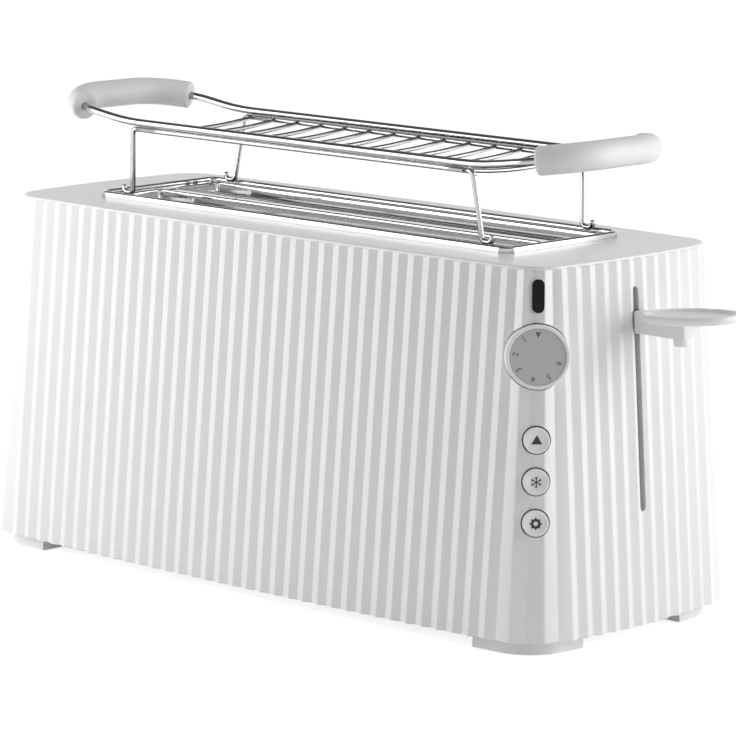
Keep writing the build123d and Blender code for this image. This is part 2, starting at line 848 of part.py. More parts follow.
def make_tray_front():
    inner = tray_front_inner()
    half = tray_width / 2 + 2
    reach = half_length + flare + 5
    front = pleated_block(foot_height, casing_top - rim_height)
    return front & box((-reach, -half, foot_height + gap), (inner, half, foot_height + tray_front_height))


def make_cord_bush():
    outer = cord_hole_diameter / 2 + cord_bush_wall
    flange = 1.5
    bush = upright(cord_place(), foot_height - flange, Circle(outer + flange), flange)
    bush += upright(cord_place(), foot_height - flange, Circle(outer), base_sheet + 3 * flange)
    return bush - upright(cord_place(), 0, Circle(cord_hole_diameter / 2), base_top + foot_height)


def make_terminal_block():
    """Three-way block beside the cord bush."""
    x, _ = cord_place()
    pitch = 10.0
    block = box((x - 6, -4.2 * pitch, base_top), (x + 6, -1.2 * pitch, base_top + 12))
    for n in range(3):
        block -= upright((x, (n - 3.7) * pitch), base_top + 7, Circle(2.5), 6)
    return block


def make_mains_switch():
    """Block under the carriage's plate, which presses it at the lowest place."""
    plate = at_travel(-rod_diameter / 2 - sleeve_wall, 0, carriage_bottom() - lever_travel).position
    return box((plate.X - 7, 10.5, base_top), (plate.X + 1, 17.5, plate.Z - 2 * slack))


# Warming rack
rail_level = casing_top + rack_height_above_deck + 1
cross_level = rail_level - rail_diameter / 2 - lower_rail_diameter / 2 - fit


def rail_rise(x):
    return rack_rise * (x - rack_bend_reach) / (rack_reach - rack_bend_reach)


def make_rack_loop():
    half = rack_depth / 2
    end_level = rail_level + rack_rise
    points = [
        (0, -half, rail_level),
        (rack_bend_reach, -half, rail_level),
        (rack_reach, -half, end_level),
        (rack_reach, half, end_level),
        (rack_bend_reach, half, rail_level),
        (0, half, rail_level),
    ]
    radii = [rail_bend_radius, rack_end_radius, rack_end_radius, rail_bend_radius]
    right = rod(points, rail_diameter, radii)
    return right + mirror(right, about=Plane.YZ)


def make_rack_sleeve(side):
    half = rack_depth / 2
    start = rack_reach - sleeve_reach
    points = [
        (start, -half, rail_level + rail_rise(start)),
        (rack_reach, -half, rail_level + rack_rise),
        (rack_reach, half, rail_level + rack_rise),
        (start, half, rail_level + rail_rise(start)),
    ]
    radii = [rack_end_radius, rack_end_radius]
    outer = rod(points, sleeve_diameter, radii)
    outer = fillet(outer.faces().filter_by(GeomType.PLANE).edges(), 1.5)
    sleeve = outer - rod(points, rail_diameter + 2 * fit, radii)
    return sleeve if side > 0 else mirror(sleeve, about=Plane.YZ)


def make_rack_lower_rail(side):
    reach = (cross_wire_count - 1) * cross_wire_pitch / 2 + 14
    y = side * rack_depth / 2
    return rod([(-reach, y, cross_level), (reach, y, cross_level)], lower_rail_diameter)


def make_cross_wires():
    end = rack_depth / 2 - lower_rail_diameter / 2 - fit / 2
    low = cross_level - cross_wire_sag
    wires = []
    for n in range(cross_wire_count):
        x = (n - (cross_wire_count - 1) / 2) * cross_wire_pitch
        points = [
            (x, -end, cross_level),
            (x, -end + 3, cross_level),
            (x, -end + 9, low),
            (x, end - 9, low),
            (x, end - 3, cross_level),
            (x, end, cross_level),
        ]
        wires.append(rod(points, cross_wire_diameter, [3, 5, 5, 3]))
    return wires


def make_rack_leg(sx, sy):
    """Leg from under the lower rail to a curled foot on the lip beside a slot."""
    x = (cross_wire_count - 1) * cross_wire_pitch / 2
    y = rack_depth / 2
    radius = lower_rail_diameter / 2
    lip_top = casing_top + 2 * deck_sheet
    top = cross_level - radius - fit
    floor = lip_top + radius + gap
    foot_x = x + leg_lean
    foot_y = slot_spacing / 2 + slot_width / 2 + radius
    points = [
        (x, y, top),
        (x, y, top - 3),
        (foot_x, foot_y, floor),
        (foot_x + 2 * foot_curl, foot_y, floor),
        (foot_x + 2 * foot_curl, foot_y, floor + foot_curl),
    ]
    leg = rod(points, lower_rail_diameter, [8, 2.4, 2.4])
    if sx < 0:
        leg = mirror(leg, about=Plane.YZ)
    return mirror(leg, about=Plane.XZ) if sy < 0 else leg


def write_parts():
    os.makedirs("parts", exist_ok=True)
    export(make_casing(), "casing")
    export(make_slot_deck(), "slot_deck")
    export(make_base_plate(), "base_plate")
    for sx, end in ((-1, "left"), (1, "right")):
        export(make_bulkhead(sx), f"bulkhead_{end}")
        for sy, face in ((-1, "front"), (1, "back")):
            export(make_foot(sx, sy), f"foot_{face}_{end}")
            export(make_rack_leg(sx, sy), f"rack_leg_{face}_{end}")
    for sy, face in ((-1, "front"), (1, "back")):
        export(make_heat_shield(sy), f"heat_shield_{face}")
        export(make_bread_lifter(slot_middles()[(sy + 1) // 2]), f"bread_lifter_{face}")
        export(make_rack_lower_rail(sy), f"rack_lower_rail_{face}")
    for row in board_rows():
        export(make_heater_board(row), f"heater_board_{row}")
        export(make_heater_ribbons(row), f"heater_ribbons_{row}")
    for n, (y, _) in enumerate(guard_rows(), start=1):
        export(make_bread_guard(y), f"bread_guard_{n}")
    export(make_guide_rods(), "guide_rods")
    export(make_guide_bracket(), "guide_bracket")
    export(make_carriage(), "carriage")
    export(make_armature(), "armature")
    core, coil = make_electromagnet()
    export(core, "electromagnet_core")
    export(coil, "electromagnet_coil")
    export(make_carriage_spring(), "carriage_spring")
    export(make_lever_arm(), "lever_arm")
    export(make_lever_paddle(), "lever_paddle")
    export(make_mains_switch(), "mains_switch")
    export(make_knob(), "browning_knob")
    export(make_knob_face(), "browning_knob_face")
    export(make_knob_shaft(), "browning_shaft")
    export(make_potentiometer(), "potentiometer")
    export(make_control_board(), "control_board")
    export(make_button_switches(), "button_switches")
    for name, height in zip(("cancel", "defrost", "reheat"), button_heights_above_floor):
        export(make_button(height), f"{name}_button")
    export(make_window_lens(), "indicator_window")
    export(make_crumb_tray(), "crumb_tray")
    export(make_tray_front(), "crumb_tray_front")
    export(make_cord_bush(), "cord_bush")
    export(make_terminal_block(), "terminal_block")
    export(make_base_screws(), "base_screws")
    export([make_foot_pad(sx, sy) for sx in (-1, 1) for sy in (-1, 1)], "foot_pads")
    export(make_rack_loop(), "rack_loop")
    export(make_rack_sleeve(-1), "rack_sleeve_left")
    export(make_rack_sleeve(1), "rack_sleeve_right")
    export(make_cross_wires(), "rack_cross_wires")


write_parts()
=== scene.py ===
import json
from math import asin, cos, pi, radians, sin, sqrt

import bmesh
import bpy
import numpy as np
from mathutils import Matrix, Vector


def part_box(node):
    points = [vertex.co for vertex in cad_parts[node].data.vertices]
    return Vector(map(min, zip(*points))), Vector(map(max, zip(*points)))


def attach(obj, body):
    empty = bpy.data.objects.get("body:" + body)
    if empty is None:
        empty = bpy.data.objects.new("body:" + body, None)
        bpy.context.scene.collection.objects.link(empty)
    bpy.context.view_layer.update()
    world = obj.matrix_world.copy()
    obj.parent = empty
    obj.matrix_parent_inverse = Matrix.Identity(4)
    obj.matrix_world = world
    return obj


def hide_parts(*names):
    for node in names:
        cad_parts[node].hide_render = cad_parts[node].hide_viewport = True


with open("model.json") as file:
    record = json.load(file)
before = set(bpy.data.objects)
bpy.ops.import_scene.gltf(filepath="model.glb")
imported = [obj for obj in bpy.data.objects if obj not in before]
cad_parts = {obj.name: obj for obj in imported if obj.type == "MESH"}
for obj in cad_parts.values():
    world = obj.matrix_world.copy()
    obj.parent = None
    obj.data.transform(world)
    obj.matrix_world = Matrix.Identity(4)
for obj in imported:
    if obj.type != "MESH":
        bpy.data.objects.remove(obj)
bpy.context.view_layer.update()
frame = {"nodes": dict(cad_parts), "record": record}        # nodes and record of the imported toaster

nodes = frame["nodes"]
scene = bpy.context.scene
shellLow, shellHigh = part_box("casing")
centreX = (shellLow[0] + shellHigh[0]) / 2      # the casing's own middle, seen from the frame's origin


# Small tools for meshes

def makeObject(name, verts, faces, material, smoothAngle=32):
    mesh = bpy.data.meshes.new(name)
    mesh.from_pydata([tuple(v) for v in verts], [], faces)
    mesh.validate()
    return dressMesh(name, mesh, material, smoothAngle)


def dressMesh(name, mesh, material, smoothAngle=32):
    mesh.update()
    obj = bpy.data.objects.new(name, mesh)
    scene.collection.objects.link(obj)
    mesh.shade_smooth()
    if smoothAngle:
        mesh.set_sharp_from_angle(angle=radians(smoothAngle))
    mesh.materials.clear()
    mesh.materials.append(material)
    return obj


def ringFaces(ringCount, perRing, closeAround=True, start=0):
    faces = []
    for r in range(ringCount - 1):
        a, b = start + r * perRing, start + (r + 1) * perRing
        last = perRing if closeAround else perRing - 1
        for k in range(last):
            n = (k + 1) % perRing
            faces.append((a + k, a + n, b + n, b + k))
    return faces


def loftRings(rings, capStart=True, capEnd=True):
    per = len(rings[0])
    verts = [p for ring in rings for p in ring]
    faces = ringFaces(len(rings), per)
    if capStart:
        faces.append(tuple(reversed(range(per))))
    if capEnd:
        faces.append(tuple(range((len(rings) - 1) * per, len(rings) * per)))
    return verts, faces


def lathe(profile, segments, place):
    """Rings of a turned piece: profile is (radius, height) pairs, place a matrix whose Z is the axis."""
    rings = []
    for r, h in profile:
        rings.append([place @ Vector((r * cos(2 * pi * k / segments), r * sin(2 * pi * k / segments), h))
                      for k in range(segments)])
    return loftRings(rings)


def sweepWire(path, radius, sides=12, roundEnds=True):
    """Tube round a list of points, with frames carried along so that it never twists."""
    path = [Vector(p) for p in path]
    tangents = []
    for k in range(len(path)):
        a, b = path[max(k - 1, 0)], path[min(k + 1, len(path) - 1)]
        tangents.append((b - a).normalized())
    side = tangents[0].orthogonal().normalized()
    rings = []
    for k, p in enumerate(path):
        side = (side - tangents[k] * side.dot(tangents[k])).normalized()
        up = tangents[k].cross(side)
        ring = [p + radius * (side * cos(2 * pi * s / sides) + up * sin(2 * pi * s / sides)) for s in range(sides)]
        rings.append((ring, p, tangents[k]))
    out = []
    if roundEnds:
        for f in (0.25, 0.7):
            out.append(shrinkRing(rings[0], f, -radius * 0.5 * sqrt(1 - f * f)))
    out += [r[0] for r in rings]
    if roundEnds:
        for f in (0.7, 0.25):
            out.append(shrinkRing(rings[-1], f, radius * 0.5 * sqrt(1 - f * f)))
    return loftRings(out)


def shrinkRing(ring, factor, shift):
    points, middle, along = ring
    return [middle + (p - middle) * factor + along * shift for p in points]


def roundPath(points, radii, step=0.35):
    """Straight runs joined by arcs: radii belong to the inner points."""
    points = [Vector(p) for p in points]
    out = [points[0]]
    for k in range(1, len(points) - 1):
        a, b, c = points[k - 1], points[k], points[k + 1]
        u, v = (a - b).normalized(), (c - b).normalized()
        turn = pi - u.angle(v)
        reach = radii[k - 1] * (sin(turn / 2) / cos(turn / 2))
        start, end = b + u * reach, b + v * reach
        middle = b + (u + v).normalized() * (radii[k - 1] / cos(turn / 2))
        steps = max(3, int(turn / step * 3))
        for n in range(steps + 1):
            f = n / steps
            arm = (start - middle) * sin((1 - f) * turn) + (end - middle) * sin(f * turn)
            out.append(middle + arm / sin(turn) if sin(turn) > 1e-6 else start.lerp(end, f))
    out.append(points[-1])
    return out


def divide(path, longest):
    """Adds points on long runs, so that shading and booleans stay even."""
    out = [path[0]]
    for a, b in zip(path, path[1:]):
        pieces = max(1, int((b - a).length / longest))
        out += [a.lerp(b, (n + 1) / pieces) for n in range(pieces)]
    return out


def joinMeshes(parts):
    """One vertex and face list from several."""
    verts, faces = [], []
    for v, f in parts:
        start = len(verts)
        verts += [tuple(p) for p in v]
        faces += [tuple(start + i for i in face) for face in f]
    return verts, faces


def plainObject(name, verts, faces):
    """Object without a finish, for cutting."""
    mesh = bpy.data.meshes.new(name)
    mesh.from_pydata([tuple(v) for v in verts], [], faces)
    mesh.update()
    bm = bmesh.new()
    bm.from_mesh(mesh)
    bmesh.ops.recalc_face_normals(bm, faces=bm.faces)
    bm.to_mesh(mesh)
    bm.free()
    obj = bpy.data.objects.new(name, mesh)
    scene.collection.objects.link(obj)
    return obj


def cut(obj, cutter, operation="DIFFERENCE"):
    modifier = obj.modifiers.new("cut", "BOOLEAN")
    modifier.operation = operation
    modifier.solver = "EXACT"
    modifier.object = cutter
    bpy.context.view_layer.update()
    result = bpy.data.meshes.new_from_object(obj.evaluated_get(bpy.context.evaluated_depsgraph_get()))
    obj.modifiers.clear()
    old = obj.data
    obj.data = result
    bpy.data.meshes.remove(old)
    bpy.data.objects.remove(cutter)


def weightNormals(obj):
    modifier = obj.modifiers.new("flatFacets", "WEIGHTED_NORMAL")
    modifier.keep_sharp = True
    modifier.weight = 80
    return obj


def soften(obj, width, segments=2, angle=35):
    modifier = obj.modifiers.new("softEdge", "BEVEL")
    modifier.width = width
    modifier.segments = segments
    modifier.limit_method = "ANGLE"
    modifier.angle_limit = radians(angle)
    modifier.use_clamp_overlap = True
    modifier.harden_normals = False
    return obj


# Node groups that several finishes share

def newGroup(name, inputs, outputs):
    group = bpy.data.node_groups.new(name, "ShaderNodeTree")
    for label, kind, value in inputs:
        socket = group.interface.new_socket(name=label, in_out="INPUT", socket_type=kind)
        socket.default_value = value
    for label, kind in outputs:
        group.interface.new_socket(name=label, in_out="OUTPUT", socket_type=kind)
    start = group.nodes.new("NodeGroupInput")
    end = group.nodes.new("NodeGroupOutput")
    return group, start, end


def addNode(tree, kind, **settings):
    node = tree.nodes.new(kind)
    for key, value in settings.items():
        setattr(node, key, value)
    return node


def mathNode(tree, operation, a, b=None, clamp=False):
    node = addNode(tree, "ShaderNodeMath", operation=operation, use_clamp=clamp)
    for socket, value in zip(node.inputs, (a, b)):
        if value is None:
            continue
        if isinstance(value, (int, float)):
            socket.default_value = value
        else:
            tree.links.new(value, socket)
    return node.outputs[0]


def noiseNode(tree, vector, scale, detail=3.0, roughness=0.55):
    node = addNode(tree, "ShaderNodeTexNoise")
    node.inputs["Detail"].default_value = detail
    node.inputs["Roughness"].default_value = roughness
    tree.links.new(vector, node.inputs["Vector"])
    if isinstance(scale, (int, float)):
        node.inputs["Scale"].default_value = scale
    else:
        tree.links.new(scale, node.inputs["Scale"])
    return node.outputs["Fac"]


def mixColour(tree, factor, a, b, blend="MIX"):
    node = addNode(tree, "ShaderNodeMix", data_type="RGBA", blend_type=blend)
    for socket, value in ((node.inputs["Factor"], factor), (node.inputs[6], a), (node.inputs[7], b)):
        if isinstance(value, (int, float)):
            socket.default_value = value
        elif isinstance(value, (tuple, list)):
            socket.default_value = (*value, 1.0) if len(value) == 3 else value
        else:
            tree.links.new(value, socket)
    return node.outputs[2]


def makeMouldedSkin():
    """Fine moulding texture with slow patches of sheen and tone; the finishes mix dust and painted shade into the
    lows.
    """
    group, start, end = newGroup("mouldedSkin", [
        ("Colour", "NodeSocketColor", (0.8, 0.8, 0.8, 1)), ("Grain Size", "NodeSocketFloat", 1800.0),
        ("Sheen Low", "NodeSocketFloat", 0.3), ("Sheen High", "NodeSocketFloat", 0.42),
        ("Mottle", "NodeSocketFloat", 0.03)],
        [("Colour", "NodeSocketColor"), ("Roughness", "NodeSocketFloat"), ("Height", "NodeSocketFloat")])
    place = addNode(group, "ShaderNodeTexCoord").outputs["Object"]
    grain = noiseNode(group, place, start.outputs["Grain Size"], 2.0)
    patches = noiseNode(group, place, 22.0, 4.0)
    dark = mathNode(group, "SUBTRACT", 1.0, mathNode(group, "MULTIPLY", patches, start.outputs["Mottle"]))
    grey = addNode(group, "ShaderNodeCombineColor")
    for socket in grey.inputs[:3]:
        group.links.new(dark, socket)
    group.links.new(mixColour(group, 1.0, start.outputs["Colour"], grey.outputs[0], "MULTIPLY"), end.inputs["Colour"])
    span = mathNode(group, "SUBTRACT", start.outputs["Sheen High"], start.outputs["Sheen Low"])
    mixed = mathNode(group, "ADD", mathNode(group, "MULTIPLY", patches, 0.7), mathNode(group, "MULTIPLY", grain, 0.3))
    group.links.new(mathNode(group, "ADD", start.outputs["Sheen Low"], mathNode(group, "MULTIPLY", span, mixed)),
                    end.inputs["Roughness"])
    group.links.new(grain, end.inputs["Height"])
    return group


def makeEdgeMask():
    """Bright where a surface turns outwards, dark in its hollows; the finishes mix painted shade, and on dark
    plastics a lighter dust, into the hollows it marks.
    """
    group, start, end = newGroup("edgeMask", [("Strength", "NodeSocketFloat", 6.0)],
                                 [("Edge", "NodeSocketFloat"), ("Hollow", "NodeSocketFloat")])
    bend = addNode(group, "ShaderNodeNewGeometry").outputs["Pointiness"]
    away = mathNode(group, "SUBTRACT", bend, 0.5)
    group.links.new(mathNode(group, "MULTIPLY", away, start.outputs["Strength"], clamp=True), end.inputs["Edge"])
    inward = mathNode(group, "MULTIPLY", away, -1.0)
    group.links.new(mathNode(group, "MULTIPLY", inward, start.outputs["Strength"], clamp=True), end.inputs["Hollow"])
    return group


def makeDrawnLines():
    """Long fine lines left by rolling or drawing metal, along X or along the wire."""
    group, start, end = newGroup("drawnLines", [
        ("Colour", "NodeSocketColor", (0.7, 0.7, 0.7, 1)), ("Stretch", "NodeSocketVector", (8.0, 900.0, 900.0)),
        ("Rough Low", "NodeSocketFloat", 0.2), ("Rough High", "NodeSocketFloat", 0.4),
        ("Tint", "NodeSocketFloat", 0.1)],
        [("Colour", "NodeSocketColor"), ("Roughness", "NodeSocketFloat"), ("Height", "NodeSocketFloat")])
    place = addNode(group, "ShaderNodeTexCoord").outputs["Object"]
    stretched = addNode(group, "ShaderNodeVectorMath", operation="MULTIPLY")
    group.links.new(place, stretched.inputs[0])
    group.links.new(start.outputs["Stretch"], stretched.inputs[1])
    lines = noiseNode(group, stretched.outputs[0], 1.0, 4.0, 0.6)
    cloud = noiseNode(group, place, 35.0, 3.0)
    shade = mathNode(group, "SUBTRACT", 1.0, mathNode(group, "MULTIPLY", lines, start.outputs["Tint"]))
    grey = addNode(group, "ShaderNodeCombineColor")
    for socket in grey.inputs[:3]:
        group.links.new(shade, socket)
    group.links.new(mixColour(group, 1.0, start.outputs["Colour"], grey.outputs[0], "MULTIPLY"), end.inputs["Colour"])
    span = mathNode(group, "SUBTRACT", start.outputs["Rough High"], start.outputs["Rough Low"])
    mixed = mathNode(group, "ADD", mathNode(group, "MULTIPLY", lines, 0.6), mathNode(group, "MULTIPLY", cloud, 0.4))
    group.links.new(mathNode(group, "ADD", start.outputs["Rough Low"], mathNode(group, "MULTIPLY", span, mixed)),
                    end.inputs["Roughness"])
    group.links.new(lines, end.inputs["Height"])
    return group


mouldedSkin = makeMouldedSkin()
edgeMask = makeEdgeMask()
drawnLines = makeDrawnLines()


# Finishes

def startFinish(name, metallic=0.0, ior=1.5, coat=0.0, coatRoughness=0.1):
    material = bpy.data.materials.new(name)
    material.use_nodes = True
    tree = material.node_tree
    shader = tree.nodes["Principled BSDF"]
    shader.inputs["Metallic"].default_value = metallic
    shader.inputs["IOR"].default_value = ior
    shader.inputs["Coat Weight"].default_value = coat
    shader.inputs["Coat Roughness"].default_value = coatRoughness
    return material, tree, shader


def useGroup(tree, group, **values):
    node = addNode(tree, "ShaderNodeGroup", node_tree=group)
    for key, value in values.items():
        socket = node.inputs[key.replace("_", " ")]
        socket.default_value = (*value, 1.0) if key == "Colour" else value
    return node


def addBump(tree, shader, height, strength, distance):
    bump = addNode(tree, "ShaderNodeBump")
    bump.inputs["Strength"].default_value = strength
    bump.inputs["Distance"].default_value = distance
    tree.links.new(height, bump.inputs["Height"])
    tree.links.new(bump.outputs[0], shader.inputs["Normal"])


def plasticFinish(name, look):
    material, tree, shader = startFinish(name, ior=look.get("ior", 1.49), coat=look.get("coat", 0.0))
    skin = useGroup(tree, mouldedSkin, Colour=look["colour"], Grain_Size=look["grain"], Sheen_Low=look["sheen"][0],
                    Sheen_High=look["sheen"][1], Mottle=look["mottle"])
    edge = useGroup(tree, edgeMask, Strength=look.get("edge", 4.0))
    # Hollows mixed towards a grey: painted shade in the creases of light plastics, a lighter dust on dark plastics.
    hollowsTinted = mixColour(tree, mathNode(tree, "MULTIPLY", edge.outputs["Hollow"], look.get("dustAndShade", 0.1)),
                     skin.outputs["Colour"], look.get("dustAndShadeColour", (0.5, 0.49, 0.47)))
    tree.links.new(hollowsTinted, shader.inputs["Base Color"])
    tree.links.new(skin.outputs["Roughness"], shader.inputs["Roughness"])
    addBump(tree, shader, skin.outputs["Height"], look.get("bump", 0.06), look.get("depth", 0.0002))
    return material


def metalFinish(name, look):
    material, tree, shader = startFinish(name, metallic=look.get("metallic", 1.0))
    lines = useGroup(tree, drawnLines, Colour=look["colour"], Stretch=look["stretch"], Rough_Low=look["rough"][0],
                     Rough_High=look["rough"][1], Tint=look["tint"])
    edge = useGroup(tree, edgeMask, Strength=look.get("edge", 5.0))
    # Hollows darkened towards a near-black: painted shade in the creases of the metal.
    hollowsTinted = mixColour(tree, mathNode(tree, "MULTIPLY", edge.outputs["Hollow"], look.get("hollowShade", 0.2)),
                     lines.outputs["Colour"], look.get("grimeColour", (0.12, 0.11, 0.10)))
    tree.links.new(hollowsTinted, shader.inputs["Base Color"])
    tree.links.new(lines.outputs["Roughness"], shader.inputs["Roughness"])
    addBump(tree, shader, lines.outputs["Height"], look.get("bump", 0.05), look.get("depth", 0.0001))
    return material


# The hollow amount and colour give painted shade in the creases of light plastics and a lighter dust on dark ones.
whiteShell = plasticFinish("whiteShell", dict(colour=(0.80, 0.80, 0.795), grain=2600.0, sheen=(0.24, 0.34),
                                              mottle=0.02, bump=0.03, dustAndShade=0.12))
whiteTrim = plasticFinish("whiteTrim", dict(colour=(0.85, 0.85, 0.845), grain=3200.0, sheen=(0.38, 0.5),
                                            mottle=0.03, bump=0.08, dustAndShade=0.1))
gripPlastic = plasticFinish("gripPlastic", dict(colour=(0.77, 0.765, 0.77), grain=1400.0, sheen=(0.42, 0.55),
                                                mottle=0.03, bump=0.08, dustAndShade=0.1))
leverPlastic = plasticFinish("leverPlastic", dict(colour=(0.86, 0.86, 0.86), grain=1800.0, sheen=(0.34, 0.46),
                                                  mottle=0.03, bump=0.05, dustAndShade=0.3, edge=7.0))
knobGrey = plasticFinish("knobGrey", dict(colour=(0.52, 0.52, 0.51), grain=4200.0, sheen=(0.35, 0.5),
                                          mottle=0.06, bump=0.1, dustAndShade=0.1))
basePlastic = plasticFinish("basePlastic", dict(colour=(0.70, 0.70, 0.69), grain=1500.0, sheen=(0.5, 0.65),
                                                mottle=0.05, bump=0.15, dustAndShade=0.3))
blackMoulding = plasticFinish("blackMoulding", dict(colour=(0.035, 0.035, 0.036), grain=2000.0, sheen=(0.4, 0.55),
                                                    mottle=0.2, bump=0.1, dustAndShade=0.25, dustAndShadeColour=(0.2, 0.19, 0.18)))
padRubber = plasticFinish("padRubber", dict(colour=(0.05, 0.05, 0.05), grain=900.0, sheen=(0.7, 0.85),
                                            mottle=0.3, bump=0.3, dustAndShade=0.4, dustAndShadeColour=(0.25, 0.24, 0.22)))
windowGloss = plasticFinish("windowGloss", dict(colour=(0.012, 0.012, 0.013), grain=700.0, sheen=(0.12, 0.2),
                                                mottle=0.3, bump=0.01, dustAndShade=0.02, ior=1.22))
markInk = plasticFinish("markInk", dict(colour=(0.03, 0.03, 0.03), grain=5000.0, sheen=(0.45, 0.6), mottle=0.2))
faintInk = plasticFinish("faintInk", dict(colour=(0.11, 0.11, 0.11), grain=5000.0, sheen=(0.45, 0.6), mottle=0.2))
circuitBoard = plasticFinish("circuitBoard", dict(colour=(0.05, 0.17, 0.08), grain=600.0, sheen=(0.25, 0.4),
                                                  mottle=0.3, bump=0.1, dustAndShade=0.3))
# The mica board's own amber tone, darkened further as painted shade for the chamber inside the slots.
micaToneAndShade = plasticFinish("micaToneAndShade", dict(colour=(0.28, 0.24, 0.17), grain=260.0, sheen=(0.3, 0.6),
                                            mottle=0.45, bump=0.3, dustAndShade=0.3))
# Every metal finish darkens its hollows as painted shade; the chrome ones set a stronger amount.
woundCopper = metalFinish("woundCopper", dict(colour=(0.60, 0.27, 0.12), stretch=(900.0, 900.0, 2600.0),
                                              rough=(0.25, 0.45), tint=0.6, bump=0.4))
chromeSheet = metalFinish("chromeSheet", dict(colour=(0.56, 0.56, 0.555), stretch=(6.0, 700.0, 700.0),
                                              rough=(0.05, 0.11), tint=0.04, bump=0.012, hollowShade=0.35))
chromeWire = metalFinish("chromeWire", dict(colour=(0.46, 0.46, 0.455), stretch=(20.0, 20.0, 20.0),
                                            rough=(0.07, 0.14), tint=0.06, bump=0.02, hollowShade=0.3))
# Zinc and reflector sheets darkened well below the metals' own tone: painted shade for the dark chamber inside the
# slots.
zincDarkenedAsShade = metalFinish("zincDarkenedAsShade", dict(colour=(0.34, 0.34, 0.335), stretch=(12.0, 500.0, 500.0),
                                          rough=(0.28, 0.5), tint=0.2))
reflectorDarkenedAsShade = metalFinish("reflectorDarkenedAsShade", dict(colour=(0.30, 0.295, 0.29), stretch=(10.0, 400.0, 400.0),
                                                    rough=(0.2, 0.42), tint=0.22))
heatRibbon = metalFinish("heatRibbon", dict(colour=(0.28, 0.25, 0.23), stretch=(30.0, 900.0, 900.0),
                                            rough=(0.4, 0.65), tint=0.35))
coreIron = metalFinish("coreIron", dict(colour=(0.22, 0.21, 0.21), stretch=(1800.0, 10.0, 10.0),
                                        rough=(0.4, 0.6), tint=0.5, bump=0.3))
print("finishes ready")


# Outline of the casing

shell = dict(
    bottom=0.008, top=0.188, halfLength=0.1855, halfDepth=0.073, cornerRadius=0.018, frontBow=3.0, endBow=6.3,
    flare=0.0136, pleats=102, pleatDepth=0.002, wall=0.0022, deckThickness=0.003,
    rimInset=0.0003, rimRadius=0.0010, fadeFrom=0.0021, fadeTo=0.0011, bottomBevel=0.0005,
    ridgeRound=0.055, valleyRound=0.05, cutBevel=0.00028,
)
draft = asin(shell["flare"] / sqrt((shell["top"] - shell["bottom"]) ** 2 + shell["flare"] ** 2))


def normalAt(turn):
    return np.array([sin(turn), -cos(turn)])


def outlineArcs(s):
    """Arcs of the outline as (centre, radius, start turn, end turn), from the middle of the front."""
    front, end = radians(s["frontBow"]), radians(s["endBow"])
    r = s["cornerRadius"]
    frontRadius, endRadius = np.linalg.solve(
        [[sin(front), 1 - cos(end)], [1 - cos(front), sin(end)]],
        [s["halfLength"] - r * (cos(end) - sin(front)), s["halfDepth"] - r * (cos(front) - sin(end))])
    cornerX = (frontRadius - r) * sin(front)
    cornerY = s["halfDepth"] - frontRadius + (frontRadius - r) * cos(front)
    quarter = pi / 2
    frontArc = (np.array([0, frontRadius - s["halfDepth"]]), frontRadius)
    endArc = (np.array([s["halfLength"] - endRadius, 0]), endRadius)
    corner = np.array([cornerX, -cornerY])
    return [
        (*frontArc, 0, front), (corner, r, front, quarter - end),
        (*endArc, quarter - end, quarter + end), (corner * [1, -1], r, quarter + end, pi - front),
        (-frontArc[0], frontRadius, pi - front, pi + front), (-corner, r, pi + front, 3 * quarter - end),
        (-endArc[0], endRadius, 3 * quarter - end, 3 * quarter + end),
        (corner * [-1, 1], r, 3 * quarter + end, 2 * pi - front), (*frontArc, -front, 0)]


arcs = outlineArcs(shell)
perimeter = sum(r * (end - start) for _, r, start, end in arcs)
cornerCentre = arcs[1][0]


def outlinePoint(along):
    """Place and outward normal at a distance along the top outline."""
    along = along % perimeter
    for centre, r, start, end in arcs:
        if along <= r * (end - start) + 1e-12:
            break
        along -= r * (end - start)
    n = normalAt(start + along / r)
    return centre + r * n, n


def wallOffset(z):
    return shell["flare"] * (shell["top"] - z) / (shell["top"] - shell["bottom"])


def pleatInset(phase):
    """Depth of the fold at a phase from 0 at one ridge to 1 at the next, with its corners rounded."""
    t = abs(phase - round(phase))
    ridge, valley = shell["ridgeRound"], shell["valleyRound"]
    if t < ridge:
        return (t * t + ridge * ridge) / ridge * shell["pleatDepth"]
    if t > 0.5 - valley:
        u = 0.5 - t
        return shell["pleatDepth"] * (1 - (u * u + valley * valley) / valley)
    return 2 * t * shell["pleatDepth"]


def pleatPhases():
    r, v = shell["ridgeRound"], shell["valleyRound"]
    return [0, r * 0.5, r, 0.275, 0.5 - v, 0.5 - v * 0.5, 0.5, 0.5 + v * 0.5, 0.5 + v, 0.725, 1 - r, 1 - r * 0.5]


columns = []
for pleat in range(shell["pleats"]):
    for phase in pleatPhases():
        spot, n = outlinePoint(perimeter * (pleat + phase) / shell["pleats"])
        columns.append((spot, n, pleatInset(phase)))


def cornerFrame(z):
    """Matrix on the crest of the control corner: X across to the right, Y up, Z out."""
    n = normalAt(radians(45))
    crest = cornerCentre + (shell["cornerRadius"] + wallOffset(z)) * n
    out = Vector((n[0] * cos(draft), n[1] * cos(draft), sin(draft)))
    across = Vector((*normalAt(radians(135)), 0))
    up = out.cross(across)
    frameMatrix = Matrix((across, up, out)).transposed().to_4x4()
    frameMatrix.translation = Vector((centreX + crest[0], crest[1], z))
    return frameMatrix


# Casing

